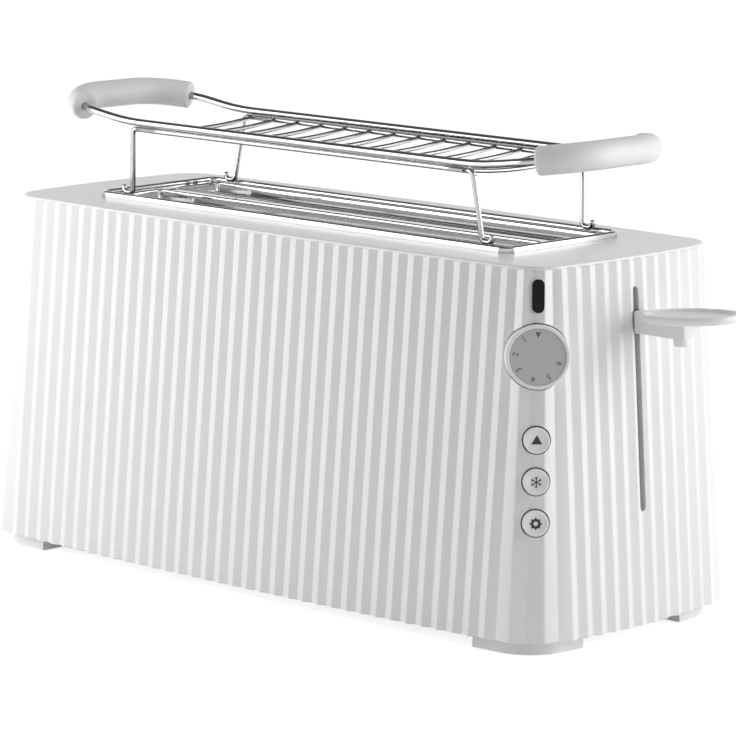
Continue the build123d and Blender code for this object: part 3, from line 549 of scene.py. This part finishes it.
controls = dict(
    windowZ=0.174, windowWidth=0.0056, windowLength=0.016, knobZ=0.1453, knobRadius=0.0155, knobProud=0.0012,
    knobDepth=0.008, wellGap=0.0006, faceRadius=0.0135, buttonZ=(0.1056, 0.0858, 0.0660), buttonRadius=0.0063,
    buttonProud=0.0009, buttonGap=0.0007, cupWall=0.0022, cupFloor=0.0022,
)
leverSlot = dict(width=0.004, low=0.0631, high=0.1729)
trayMouth = dict(half=0.0406, top=0.0226)
deck = dict(halfLength=0.142, halfDepth=0.044, radius=0.007, rimWidth=0.003, rimHeight=0.0035, sheet=0.001,
            slotLength=0.264, slotWidth=0.030, slotSpacing=0.044, lipDepth=0.007)


def roundedRectangle(halfX, halfY, r, perCorner=8):
    points = []
    for cx, cy, start in ((1, -1, -pi / 2), (1, 1, 0), (-1, 1, pi / 2), (-1, -1, pi)):
        for k in range(perCorner + 1):
            a = start + (pi / 2) * k / perCorner
            points.append((cx * (halfX - r) + r * cos(a), cy * (halfY - r) + r * sin(a)))
    return points


def pleatedRing(z, amount, extra=0.0):
    ring = []
    for spot, n, inset in columns:
        plain = shell["rimInset"]
        depth = inset * amount + plain * (1 - amount)
        p = spot + (wallOffset(z) - depth - extra) * n
        ring.append((centreX + p[0], p[1], z))
    return ring


def outerBlock():
    rings = [pleatedRing(shell["bottom"], 1.0, shell["bottomBevel"])]
    low, top = shell["bottom"] + shell["bottomBevel"], shell["top"]
    wallTop = top - shell["fadeFrom"]
    for k in range(8):
        rings.append(pleatedRing(low + (wallTop - low) * k / 7, 1.0))
    for k in range(1, 6):
        f = k / 5
        z = wallTop + (shell["fadeFrom"] - shell["fadeTo"]) * f
        rings.append(pleatedRing(z, 0.5 * (1 + cos(pi * f))))
    r = shell["rimRadius"]
    for k in range(6):
        a = (pi / 2) * k / 5
        rings.append(pleatedRing(top - r + r * sin(a), 0.0, r * (1 - cos(a))))
    return loftRings(rings)


def cavityBlock():
    inset = shell["pleatDepth"] + shell["wall"]
    rings = []
    for z in (shell["bottom"] - 0.001, shell["top"] - shell["deckThickness"]):
        ring = []
        for spot, n, _ in columns[::6]:
            p = spot + (wallOffset(z) - inset) * n
            ring.append((centreX + p[0], p[1], z))
        rings.append(ring)
    return loftRings(rings)


def discCutter(z, radius, front, back, segments=64):
    return lathe([(radius, back), (radius, front)], segments, cornerFrame(z))


def pillCutter(z, width, length, front, back):
    place = cornerFrame(z)
    outline = roundedRectangle(width / 2, length / 2, width / 2 - 1e-6, 10)
    return loftRings([[place @ Vector((x, y, h)) for x, y in outline] for h in (back, front)])


def boxCutter(low, high):
    (x0, y0, z0), (x1, y1, z1) = low, high
    rings = [[(x0, y0, z), (x1, y0, z), (x1, y1, z), (x0, y1, z)] for z in (z0, z1)]
    return loftRings(rings)


def endSlotCutter():
    """Lever slot through the end wall, with round ends."""
    half = leverSlot["width"] / 2
    points = []
    for z, start in ((leverSlot["high"] - half, 0), (leverSlot["low"] + half, pi)):
        for k in range(9):
            a = start + pi * k / 8
            points.append((half * cos(a), z + half * sin(a)))
    low, high = centreX + shell["halfLength"] - 0.014, centreX + shell["halfLength"] + 0.02
    return loftRings([[(x, y, z) for y, z in points] for x in (low, high)])


def makeCasing():
    c = controls
    body = plainObject("casingShell", *outerBlock())
    cavity = plainObject("cavity", *cavityBlock())
    wellRadius = c["knobRadius"] + c["wellGap"]
    wellFloor = c["knobProud"] - c["knobDepth"] - 0.0003
    cup = discCutter(c["knobZ"], wellRadius + c["cupWall"], 0.01, wellFloor - c["cupFloor"])
    cut(cavity, plainObject("cup", *cup))
    cut(body, cavity)
    cutters = [discCutter(c["knobZ"], wellRadius, 0.012, wellFloor),
               discCutter(c["knobZ"], 0.0036, wellFloor + 0.001, -0.016, 32),
               pillCutter(c["windowZ"], c["windowWidth"] + 0.0002, c["windowLength"] + 0.0002, 0.004, -0.009),
               endSlotCutter()]
    for z in c["buttonZ"]:
        cutters.append(discCutter(z, c["buttonRadius"] + c["buttonGap"], 0.004, -0.009, 48))
    mouth = trayMouth["half"]
    cutters.append(boxCutter((centreX - 0.21, -mouth, 0.0), (centreX - shell["halfLength"] + 0.006, mouth, trayMouth["top"])))
    inner = deck["rimWidth"] - 0.0003
    opening = roundedRectangle(deck["halfLength"] - inner, deck["halfDepth"] - inner, deck["radius"] - inner)
    cutters.append(loftRings([[(centreX + x, y, z) for x, y in opening] for z in (shell["top"] - 0.006, shell["top"] + 0.004)]))
    cut(body, plainObject("cutters", *joinMeshes(cutters)))
    body.data.shade_smooth()
    body.data.set_sharp_from_angle(angle=radians(40))
    body.data.materials.clear()
    body.data.materials.append(whiteShell)
    for polygon in body.data.polygons:
        polygon.material_index = 0
    weightNormals(body)
    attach(body, "housing")
    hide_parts("casing")
    return body


casingShell = makeCasing()
print("casing ready", len(casingShell.data.polygons))


# Slot deck

def sweptLoop(halfX, halfY, radius, profile, middleY=0.0):
    """Profile of (inset, height) pairs carried round a rounded rectangle."""
    rings = []
    for inset, z in profile:
        r = max(radius - inset, 0.0004)
        rings.append([(centreX + x, middleY + y, z) for x, y in roundedRectangle(halfX - inset, halfY - inset, r, 8)])
    return rings


def closedLoop(rings):
    """Joins the last ring back to the first, for a hollow frame."""
    per = len(rings[0])
    verts = [p for ring in rings for p in ring]
    faces = ringFaces(len(rings), per)
    last = (len(rings) - 1) * per
    faces += [(last + k, last + (k + 1) % per, (k + 1) % per, k) for k in range(per)]
    return verts, faces


def makeDeckRim():
    """Raised hem of the deck: a folded edge with a round top."""
    d = deck
    base, width = shell["top"], d["rimWidth"]
    r = width / 2
    profile = [(0, base + 0.00005)]
    crown = base + d["rimHeight"] - r
    for k in range(9):
        a = pi * k / 8
        profile.append((r - r * cos(a), crown + r * sin(a)))
    profile.append((width, base - 0.0004))
    profile.append((width * 0.6, base - 0.0006))
    profile.append((width * 0.6, base + 0.00005))
    return closedLoop(sweptLoop(d["halfLength"], d["halfDepth"], d["radius"], profile))


def plateWithSlots():
    """Flat pan between the hems, with its two mouths left open."""
    d = deck
    half = d["slotSpacing"] / 2
    curve = bpy.data.curves.new("panOutline", "CURVE")
    curve.dimensions = "2D"
    curve.fill_mode = "BOTH"
    curve.extrude = d["sheet"] / 2 - 0.0002
    curve.bevel_depth = 0.0002
    curve.bevel_resolution = 1
    edge = d["rimWidth"] - 0.0002
    lip = 0.0012
    loops = [(0, roundedRectangle(d["halfLength"] - edge, d["halfDepth"] - edge, d["radius"] - edge))]
    for y in (-half, half):
        loops.append((y, roundedRectangle(d["slotLength"] / 2 + lip, d["slotWidth"] / 2 + lip, 0.0032)))
    for middle, points in loops:
        spline = curve.splines.new("POLY")
        spline.points.add(len(points) - 1)
        for point, (x, y) in zip(spline.points, points):
            point.co = (centreX + x, middle + y, 0, 1)
        spline.use_cyclic_u = True
    holder = bpy.data.objects.new("panOutline", curve)
    scene.collection.objects.link(holder)
    bpy.context.view_layer.update()
    mesh = bpy.data.meshes.new_from_object(holder.evaluated_get(bpy.context.evaluated_depsgraph_get()))
    bpy.data.objects.remove(holder)
    mesh.transform(Matrix.Translation((0, 0, shell["top"] + d["sheet"] / 2)))
    verts = [v.co.copy() for v in mesh.vertices]
    faces = [tuple(p.vertices) for p in mesh.polygons]
    bpy.data.meshes.remove(mesh)
    return verts, faces


def slotLip(middleY):
    """Rolled lip round one mouth that turns down into the chamber."""
    d = deck
    top = shell["top"] + d["sheet"]
    r = 0.0011
    profile = []
    for k in range(8):
        a = pi * k / 7
        profile.append((-r - r * cos(a) + 0.0, top - 0.0002 + 0.0009 * sin(a)))
    low = shell["top"] - d["lipDepth"]
    profile += [(0.0, low), (-0.0007, low), (-0.0007, top - 0.0006)]
    return closedLoop(sweptLoop(d["slotLength"] / 2, d["slotWidth"] / 2, 0.0025, profile, middleY))


def makeDeck():
    half = deck["slotSpacing"] / 2
    parts = [makeDeckRim(), plateWithSlots(), slotLip(-half), slotLip(half)]
    piece = makeObject("chromeDeck", *joinMeshes(parts), chromeSheet, 40)
    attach(piece, "housing")
    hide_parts("slot_deck")
    return piece


makeDeck()
print("deck ready")


# Warming rack

rack = dict(
    level=0.2295, half=0.042, reach=0.1734, rise=0.0074, bendReach=0.122, endRadius=0.030, bendRadius=0.16,
    rail=0.002, lowerRail=0.0014, crossWire=0.0012, count=14, pitch=0.01715, sag=0.0028, sleeve=0.00725,
    sleeveReach=0.0302, gripTrim=11, legX=0.1170, legLean=0.0035, curl=0.0032, footY=0.0384,
)
rackCross = rack["level"] - rack["rail"] - rack["lowerRail"] - 0.0001


def railPoints():
    k = rack
    end = k["level"] + k["rise"]
    right = [(k["bendReach"], -k["half"], k["level"]), (k["reach"], -k["half"], end),
             (k["reach"], k["half"], end), (k["bendReach"], k["half"], k["level"])]
    return right, [k["bendRadius"], k["endRadius"], k["endRadius"], k["bendRadius"]]


def fromCentre(points, flip=1):
    return [Vector((centreX + flip * p[0], p[1], p[2])) for p in points]


def makeRackLoop():
    right, radii = railPoints()
    arc = roundPath([(0, -rack["half"], rack["level"])] + right + [(0, rack["half"], rack["level"])], radii, 0.2)
    left = [Vector((-p[0], p[1], p[2])) for p in arc][1:-1]
    path = [Vector((centreX + p[0], p[1], p[2])) for p in arc + left[::-1]]
    path = divide(path + [path[0]], 0.02)[:-1]
    sides, rings = 14, []
    for k, p in enumerate(path):
        tangent = (path[(k + 1) % len(path)] - path[k - 1]).normalized()
        side = tangent.cross(Vector((0, 0, 1))).normalized()
        up = side.cross(tangent)
        rings.append([p + rack["rail"] * (side * cos(2 * pi * s / sides) + up * sin(2 * pi * s / sides)) for s in range(sides)])
    piece = makeObject("rackRail", *closedLoop(rings), chromeWire, 60)
    ridesOn(piece, "rack", "chrome_wire", "rack_loop")


def ridesOn(piece, body, slot, *replaced):
    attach(piece, body)
    if replaced:
        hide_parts(*replaced)
    return piece


def makeSleeve(flip, name, node):
    k = rack
    slope = k["rise"] / (k["reach"] - k["bendReach"])
    start = k["reach"] - k["sleeveReach"]
    low, high = k["level"] + slope * (start - k["bendReach"]), k["level"] + k["rise"]
    corners = [(start, -k["half"], low), (k["reach"], -k["half"], high),
               (k["reach"], k["half"], high), (start, k["half"], low)]
    path = fromCentre(divide(roundPath(corners, [k["endRadius"]] * 2, 0.12), 0.003), flip)
    path = path[k["gripTrim"]:-k["gripTrim"]]
    r, bore, lip, sides = k["sleeve"], k["rail"] + 0.0001, 0.0016, 40

    def ringAt(p, along, radius):
        side = along.cross(Vector((0, 0, 1))).normalized()
        up = side.cross(along)
        return [p + radius * (side * cos(2 * pi * s / sides) + up * sin(2 * pi * s / sides)) for s in range(sides)]

    first, last = path[0], path[-1]
    inward, onward = (path[1] - first).normalized(), (last - path[-2]).normalized()
    turns = [(pi / 2) * t / 6 for t in range(7)]
    rings = [ringAt(first + inward * 0.004, inward, bore), ringAt(first, inward, bore)]   # mouth of the bore
    rings += [ringAt(first + inward * lip * (1 - cos(a)), inward, r - lip + lip * sin(a)) for a in turns]
    for n in range(1, len(path) - 1):
        if min((path[n] - first).length, (path[n] - last).length) > lip * 1.3:
            rings.append(ringAt(path[n], (path[n + 1] - path[n - 1]).normalized(), r))
    rings += [ringAt(last - onward * lip * (1 - cos(a)), onward, r - lip + lip * sin(a)) for a in turns[::-1]]
    rings += [ringAt(last, onward, bore), ringAt(last - onward * 0.004, onward, bore)]
    piece = makeObject(name, *loftRings(rings), gripPlastic, 50)
    ridesOn(piece, "rack", "white_trim", node)


def makeLowerRails():
    reach = rack["legX"] - 0.003
    for y, node, name in ((-rack["half"], "rack_lower_rail_front", "lowerRailFront"),
                          (rack["half"], "rack_lower_rail_back", "lowerRailBack")):
        path = divide(fromCentre([(-reach, y, rackCross), (reach, y, rackCross)]), 0.02)
        piece = makeObject(name, *sweepWire(path, rack["lowerRail"], 12), chromeWire, 60)
        ridesOn(piece, "rack", "chrome_wire", node)


def makeCrossWires():
    end = rack["half"] - 0.0002
    parts = []
    for n in range(rack["count"]):
        x = (n - (rack["count"] - 1) / 2) * rack["pitch"]
        stations = [-1 + k / 12 for k in range(25)]
        path = fromCentre([(x, end * t, rackCross - rack["sag"] * (1 - t * t)) for t in stations])
        parts.append(sweepWire(path, rack["crossWire"], 10))
    piece = makeObject("crossWires", *joinMeshes(parts), chromeWire, 60)
    ridesOn(piece, "rack", "chrome_wire", "rack_cross_wires")


def makeLegs():
    x = rack["legX"]
    r = rack["lowerRail"]
    top = rackCross
    floor = shell["top"] + 2 * deck["sheet"] + r + 0.0003
    footX, footY, curl = x + rack["legLean"], rack["footY"], rack["curl"]
    points = [(x - 0.006, rack["half"], top), (x, rack["half"], top), (footX, footY, floor),
              (footX + 2 * curl, footY, floor), (footX + 2 * curl, footY, floor + curl)]
    shape = roundPath(points, [0.0028, 0.0024, 0.0024])
    for sx, end in ((-1, "left"), (1, "right")):
        for sy, face in ((-1, "front"), (1, "back")):
            path = [Vector((centreX + sx * p[0], sy * p[1], p[2])) for p in divide(shape, 0.008)]
            piece = makeObject(f"rackLeg{face.title()}{end.title()}", *sweepWire(path, r, 12), chromeWire, 60)
            ridesOn(piece, "rack", "chrome_wire", f"rack_leg_{face}_{end}")


makeRackLoop()
makeSleeve(-1, "gripLeft", "rack_sleeve_left")
makeSleeve(1, "gripRight", "rack_sleeve_right")
makeLowerRails()
makeCrossWires()
makeLegs()
print("rack ready")


# Knob, buttons and window

def turned(name, profile, z, material, segments=96, smoothAngle=40):
    return makeObject(name, *lathe(profile, segments, cornerFrame(z)), material, smoothAngle)


def makeKnob():
    c = controls
    front, back = c["knobProud"], c["knobProud"] - c["knobDepth"]
    r, face, e = c["knobRadius"], c["faceRadius"], 0.0007
    profile = [(0.003, back), (r - 0.0004, back), (r, back + 0.0004), (r, front - e)]
    for k in range(1, 7):
        a = (pi / 2) * k / 6
        profile.append((r - e + e * cos(a), front - e + e * sin(a)))
    profile += [(face + 0.0005, front), (face + 0.0002, front - 0.0001), (face + 0.0001, front - 0.0003),
                (face + 0.0001, front - 0.0012), (0.003, front - 0.0012)]
    ridesOn(turned("knobRim", profile, c["knobZ"], whiteTrim), "knob", "white_trim", "browning_knob")
    sunk = front - 0.0004
    insert = [(0.0004, sunk - 0.0007), (face, sunk - 0.0007), (face, sunk - 0.0002), (face - 0.0002, sunk), (0.0004, sunk)]
    ridesOn(turned("knobInsert", insert, c["knobZ"], knobGrey), "knob", "knob_grey", "browning_knob_face")
    return sunk


def flatShape(points, place, height, thickness=0.00006):
    rings = [[place @ Vector((x, y, h)) for x, y in points] for h in (height - thickness, height)]
    return loftRings(rings)


def textShape(text, size, place, height):
    """Digit as a thin solid on a plane."""
    curve = bpy.data.curves.new("digit", "FONT")
    curve.body = text
    curve.size = size
    curve.align_x = "CENTER"
    curve.align_y = "CENTER"
    curve.extrude = 0.00003
    curve.resolution_u = 4
    holder = bpy.data.objects.new("digit", curve)
    scene.collection.objects.link(holder)
    bpy.context.view_layer.update()
    mesh = bpy.data.meshes.new_from_object(holder.evaluated_get(bpy.context.evaluated_depsgraph_get()))
    bpy.data.objects.remove(holder)
    verts = [place @ Vector((v.co.x, v.co.y, height + v.co.z)) for v in mesh.vertices]
    faces = [tuple(p.vertices) for p in mesh.polygons]
    bpy.data.meshes.remove(mesh)
    return verts, faces


def makeDialMarks(surface):
    """Triangle at the top and the plain numbers 1 to 6 turned with the dial."""
    place = cornerFrame(controls["knobZ"])
    radius = 0.0106
    parts = []
    for n, clock in enumerate((322, 277, 236, 191, 151, 107), start=1):
        turn = Matrix.Rotation(radians(-clock), 4, "Z")
        spot = place @ turn @ Matrix.Translation((0, radius, 0))
        parts.append(textShape(str(n), 0.0042, spot, surface + 0.00003))
    top = [(-0.0013, radius + 0.0013), (0, radius - 0.0015), (0.0013, radius + 0.0013)]
    parts.append(flatShape(top, place, surface + 0.00006))
    marks = makeObject("dialMarks", *joinMeshes(parts), faintInk, 30)
    ridesOn(marks, "knob", "knob_grey")


def makeButtons():
    c = controls
    icons = {"cancel": cancelIcon, "defrost": defrostIcon, "reheat": reheatIcon}
    for (name, icon), z in zip(icons.items(), c["buttonZ"]):
        r, front = c["buttonRadius"], c["buttonProud"]
        e = 0.0005
        profile = [(0.0005, -0.0062), (r - 0.0002, -0.0062), (r, -0.006), (r, front - e)]
        for k in range(1, 6):
            a = (pi / 2) * k / 5
            profile.append((r - e + e * cos(a), front - e + e * sin(a)))
        profile += [(r - 0.0012, front - 0.00002), (r - 0.0015, front - 0.00022), (0.0005, front - 0.0003)]
        cap = turned(f"{name}Cap", profile, z, whiteTrim, 72)
        ridesOn(cap, name, "white_trim", f"{name}_button")
        parts = icon(cornerFrame(z), front - 0.00018)
        ridesOn(makeObject(f"{name}Icon", *joinMeshes(parts), markInk, 30), name, "dark_window")


def cancelIcon(place, height):
    return [flatShape([(-0.0026, -0.0017), (0.0026, -0.0017), (0, 0.0027)], place, height)]


def defrostIcon(place, height):
    parts = []
    for k in range(3):
        turn = place @ Matrix.Rotation(k * pi / 3 + pi / 2, 4, "Z")
        parts.append(flatShape([(-0.0028, -0.00022), (0.0028, -0.00022), (0.0028, 0.00022), (-0.0028, 0.00022)], turn, height))
    for k in range(6):
        turn = place @ Matrix.Rotation(k * pi / 3 + pi / 2, 4, "Z")
        for side in (-1, 1):
            arm = [(0.0013, 0), (0.0023, side * 0.0009), (0.0024, side * 0.0006), (0.0016, 0)]
            parts.append(flatShape(arm if side > 0 else arm[::-1], turn, height))
    return parts


def reheatIcon(place, height):
    count, thickness = 32, 0.00006
    loops = []
    for radius, h in ((0.0011, -thickness), (0.0024, -thickness), (0.0024, 0), (0.0011, 0)):
        loops.append([place @ Vector((radius * cos(2 * pi * k / count), radius * sin(2 * pi * k / count), height + h))
                      for k in range(count)])
    parts = [closedLoop(loops)]
    for k in range(8):
        turn = place @ Matrix.Rotation(k * pi / 4, 4, "Z")
        parts.append(flatShape([(0.0023, -0.0003), (0.0030, -0.0003), (0.0030, 0.0003), (0.0023, 0.0003)],
                               turn, height))
    return parts


def makeWindow():
    c = controls
    place = cornerFrame(c["windowZ"])
    rings = []
    for inset, h in ((0.0, -0.0048), (0.0, -0.0011), (0.0003, -0.0007), (0.001, -0.0006)):
        outline = roundedRectangle(c["windowWidth"] / 2 - inset, c["windowLength"] / 2 - inset, c["windowWidth"] / 2 - inset - 1e-6, 10)
        rings.append([place @ Vector((x, y, h)) for x, y in outline])
    piece = makeObject("windowLens", *loftRings(rings), windowGloss, 40)
    ridesOn(piece, "housing", "dark_window", "indicator_window")


surface = makeKnob()
makeDialMarks(surface)
makeButtons()
makeWindow()
print("controls ready")


# Lever

lever = dict(
    rootX=0.187918, z=0.156, tilt=4.32, dishX=0.0321, halfLength=0.027, halfWidth=0.020, low=0.0009, high=0.0055,
    rimWidth=0.0032, floor=0.0038, ribWidth=0.008, ribRound=0.0014, stubX=0.026, stubRadius=0.0040, stubEnd=-0.011,
)


def makePaddle():
    v = lever
    tilt = radians(v["tilt"])
    place = Matrix(((cos(tilt), 0, sin(tilt)), (0, 1, 0), (-sin(tilt), 0, cos(tilt)))).transposed().to_4x4()
    place.translation = Vector((centreX + v["rootX"], 0, v["z"]))
    w, low, high, floor = v["rimWidth"], v["low"], v["high"], v["floor"]
    dishProfile = [
        (0.0155, low), (0.0050, low), (0.0026, low + 0.0003), (0.0011, low + 0.0009), (0.0003, low + 0.0018),
        (0.0, low + 0.0028), (0.0001, high - 0.0010), (0.0005, high - 0.0004), (0.0012, high),
        (w - 0.0010, high), (w - 0.0003, high - 0.0003), (w + 0.0002, high - 0.0009), (w + 0.0010, floor + 0.0002),
        (w + 0.0024, floor), (0.0155, floor - 0.0001)]
    rings = []
    for inset, z in dishProfile:
        turns = [2 * pi * k / 80 for k in range(80)]
        rings.append([place @ Vector((v["dishX"] + (v["halfLength"] - inset) * cos(a),
                                      (v["halfWidth"] - inset) * sin(a), z)) for a in turns])
    piece = plainObject("leverPaddle", *loftRings(rings))
    ribLine = [(0.0006, -0.0055, 0.0055), (0.0059, -0.00594, 0.0055), (0.0072, -0.00605, 0.0022),
               (0.0210, -0.0072, 0.0022), (0.0292, -0.0072, 0.0022), (0.0303, -0.0066, 0.0022),
               (0.0309, -0.0052, 0.0022)]
    rings = []
    for x, under, over in ribLine:
        outline = roundedRectangle(v["ribWidth"] / 2, (over - under) / 2, v["ribRound"], 5)
        rings.append([place @ Vector((x, y, (over + under) / 2 + z)) for y, z in outline])
    cut(piece, plainObject("rib", *loftRings(rings)), "UNION")
    r, end = v["stubRadius"], v["stubEnd"]
    stubPlace = place @ Matrix.Translation((v["stubX"], 0, 0))
    stubProfile = [(r - 0.0010, end), (r - 0.0004, end + 0.0002), (r, end + 0.0009), (r, -0.002)]
    cut(piece, plainObject("stub", *lathe(stubProfile, 48, stubPlace)), "UNION")
    mesh = piece.data
    mesh.shade_smooth()
    mesh.set_sharp_from_angle(angle=radians(42))
    mesh.materials.clear()
    mesh.materials.append(leverPlastic)
    ridesOn(piece, "carriage", "white_trim", "lever_paddle")


makePaddle()
print("lever ready")


# Pieces that keep their construction mesh

finishes = {
    "white_shell": whiteShell, "white_trim": whiteTrim, "knob_grey": knobGrey, "chrome_sheet": chromeSheet,
    "chrome_wire": chromeWire, "zinc_sheet": zincDarkenedAsShade, "aluminised": reflectorDarkenedAsShade, "mica": micaToneAndShade,
    "ribbon": heatRibbon, "dark_window": windowGloss, "board_green": circuitBoard, "black_part": blackMoulding,
    "copper": woundCopper, "core_iron": coreIron, "rubber": padRubber, "base_plastic": basePlastic,
}
for row in frame["record"]["subparts"]:
    node = nodes[row["node"]]
    node.data.materials.clear()
    node.data.materials.append(finishes[row["material_slot"]])


# Floor, light and camera

camera = dict(azimuth=42.2965, elevation=9.5483, distance=2.1624, targetZ=0.1248, roll=-0.7387,
              focalPixels=4206.9, imagePixels=736, shiftX=0.02353, shiftY=-0.04076, sensor=36.0)


def makeCamera(c):
    a, e, roll = radians(c["azimuth"]), radians(c["elevation"]), radians(c["roll"])
    back = Vector((sin(a) * cos(e), -cos(a) * cos(e), sin(e)))
    right = Vector((cos(a), sin(a), 0))
    up = back.cross(right)
    turnedRight = right * cos(roll) - up * sin(roll)
    turnedUp = right * sin(roll) + up * cos(roll)
    data = bpy.data.cameras.new("photoCamera")
    data.sensor_width = c["sensor"]
    data.lens = c["focalPixels"] / c["imagePixels"] * c["sensor"]
    data.shift_x, data.shift_y = c["shiftX"], c["shiftY"]
    data.clip_end = 20
    obj = bpy.data.objects.new("photoCamera", data)
    scene.collection.objects.link(obj)
    matrix = Matrix((turnedRight, turnedUp, back)).transposed().to_4x4()
    matrix.translation = Vector((centreX, 0, c["targetZ"])) + back * c["distance"]
    obj.matrix_world = matrix
    scene.camera = obj


light = dict(ambient=0.365, ceiling=0.14, leftPower=2.65, rightPower=8.7, topPower=0.7,
             floorColour=(0.9, 0.9, 0.9), floorGlow=0.84)


def seenDirectly(tree):
    """1 for rays that see the background itself: from the camera, in gloss and through glass."""
    path = addNode(tree, "ShaderNodeLightPath")
    first = mathNode(tree, "MAXIMUM", path.outputs["Is Camera Ray"], path.outputs["Is Glossy Ray"])
    return mathNode(tree, "MAXIMUM", first, path.outputs["Is Transmission Ray"])


def makeWorld():
    world = bpy.data.worlds.new("studio")
    world.use_nodes = True
    tree = world.node_tree
    background = tree.nodes["Background"]
    skyward = addNode(tree, "ShaderNodeSeparateXYZ")
    tree.links.new(addNode(tree, "ShaderNodeTexCoord").outputs["Generated"], skyward.inputs[0])
    ramp = addNode(tree, "ShaderNodeMapRange", interpolation_type="SMOOTHSTEP")
    ramp.inputs["From Min"].default_value = 0.30
    ramp.inputs["From Max"].default_value = 0.62
    tree.links.new(skyward.outputs["Z"], ramp.inputs["Value"])
    studio = mixColour(tree, ramp.outputs["Result"], (1.0, 1.0, 1.0), (light["ceiling"],) * 3)
    mix = mixColour(tree, seenDirectly(tree), (light["ambient"],) * 3, studio)
    tree.links.new(mix, background.inputs["Color"])
    background.inputs["Strength"].default_value = 1.0
    scene.world = world


def makeFloor():
    verts = [(-6, -6, 0), (6, -6, 0), (6, 6, 0), (-6, 6, 0)]
    material = bpy.data.materials.new("paperFloor")
    material.use_nodes = True
    tree = material.node_tree
    shader = tree.nodes["Principled BSDF"]
    place = addNode(tree, "ShaderNodeTexCoord").outputs["Object"]
    fibre = noiseNode(tree, place, 60.0, 3.0)
    colour = mixColour(tree, mathNode(tree, "MULTIPLY", fibre, 0.02), light["floorColour"], (0.8, 0.8, 0.8))
    tree.links.new(colour, shader.inputs["Base Color"])
    shader.inputs["Roughness"].default_value = 0.9
    shader.inputs["Specular IOR Level"].default_value = 0.1
    glow = seenDirectly(tree)
    tree.links.new(colour, shader.inputs["Emission Color"])
    tree.links.new(mathNode(tree, "MULTIPLY", glow, light["floorGlow"]), shader.inputs["Emission Strength"])
    floor = makeObject("floor", verts, [(0, 1, 2, 3)], material, 0)


def softbox(name, place, target, size, power):
    data = bpy.data.lights.new(name, "AREA")
    data.shape = "RECTANGLE"
    data.size, data.size_y = size
    data.energy = power
    obj = bpy.data.objects.new(name, data)
    scene.collection.objects.link(obj)
    obj.location = place
    aim = Vector(target) - Vector(place)
    obj.rotation_euler = aim.to_track_quat("-Z", "Y").to_euler()


makeCamera(camera)
makeWorld()
makeFloor()
softbox("leftBox", (-0.43, -0.52, 0.28), (-0.10, -0.05, 0.1), (0.50, 0.50), light["leftPower"])
softbox("rightBox", (0.95, 0.55, 0.45), (0.15, 0, 0.1), (0.8, 1.0), light["rightPower"])
softbox("topBox", (0.0, 0.25, 1.30), (0, 0, 0.1), (0.9, 0.5), light["topPower"])
scene.view_settings.view_transform = "Standard"
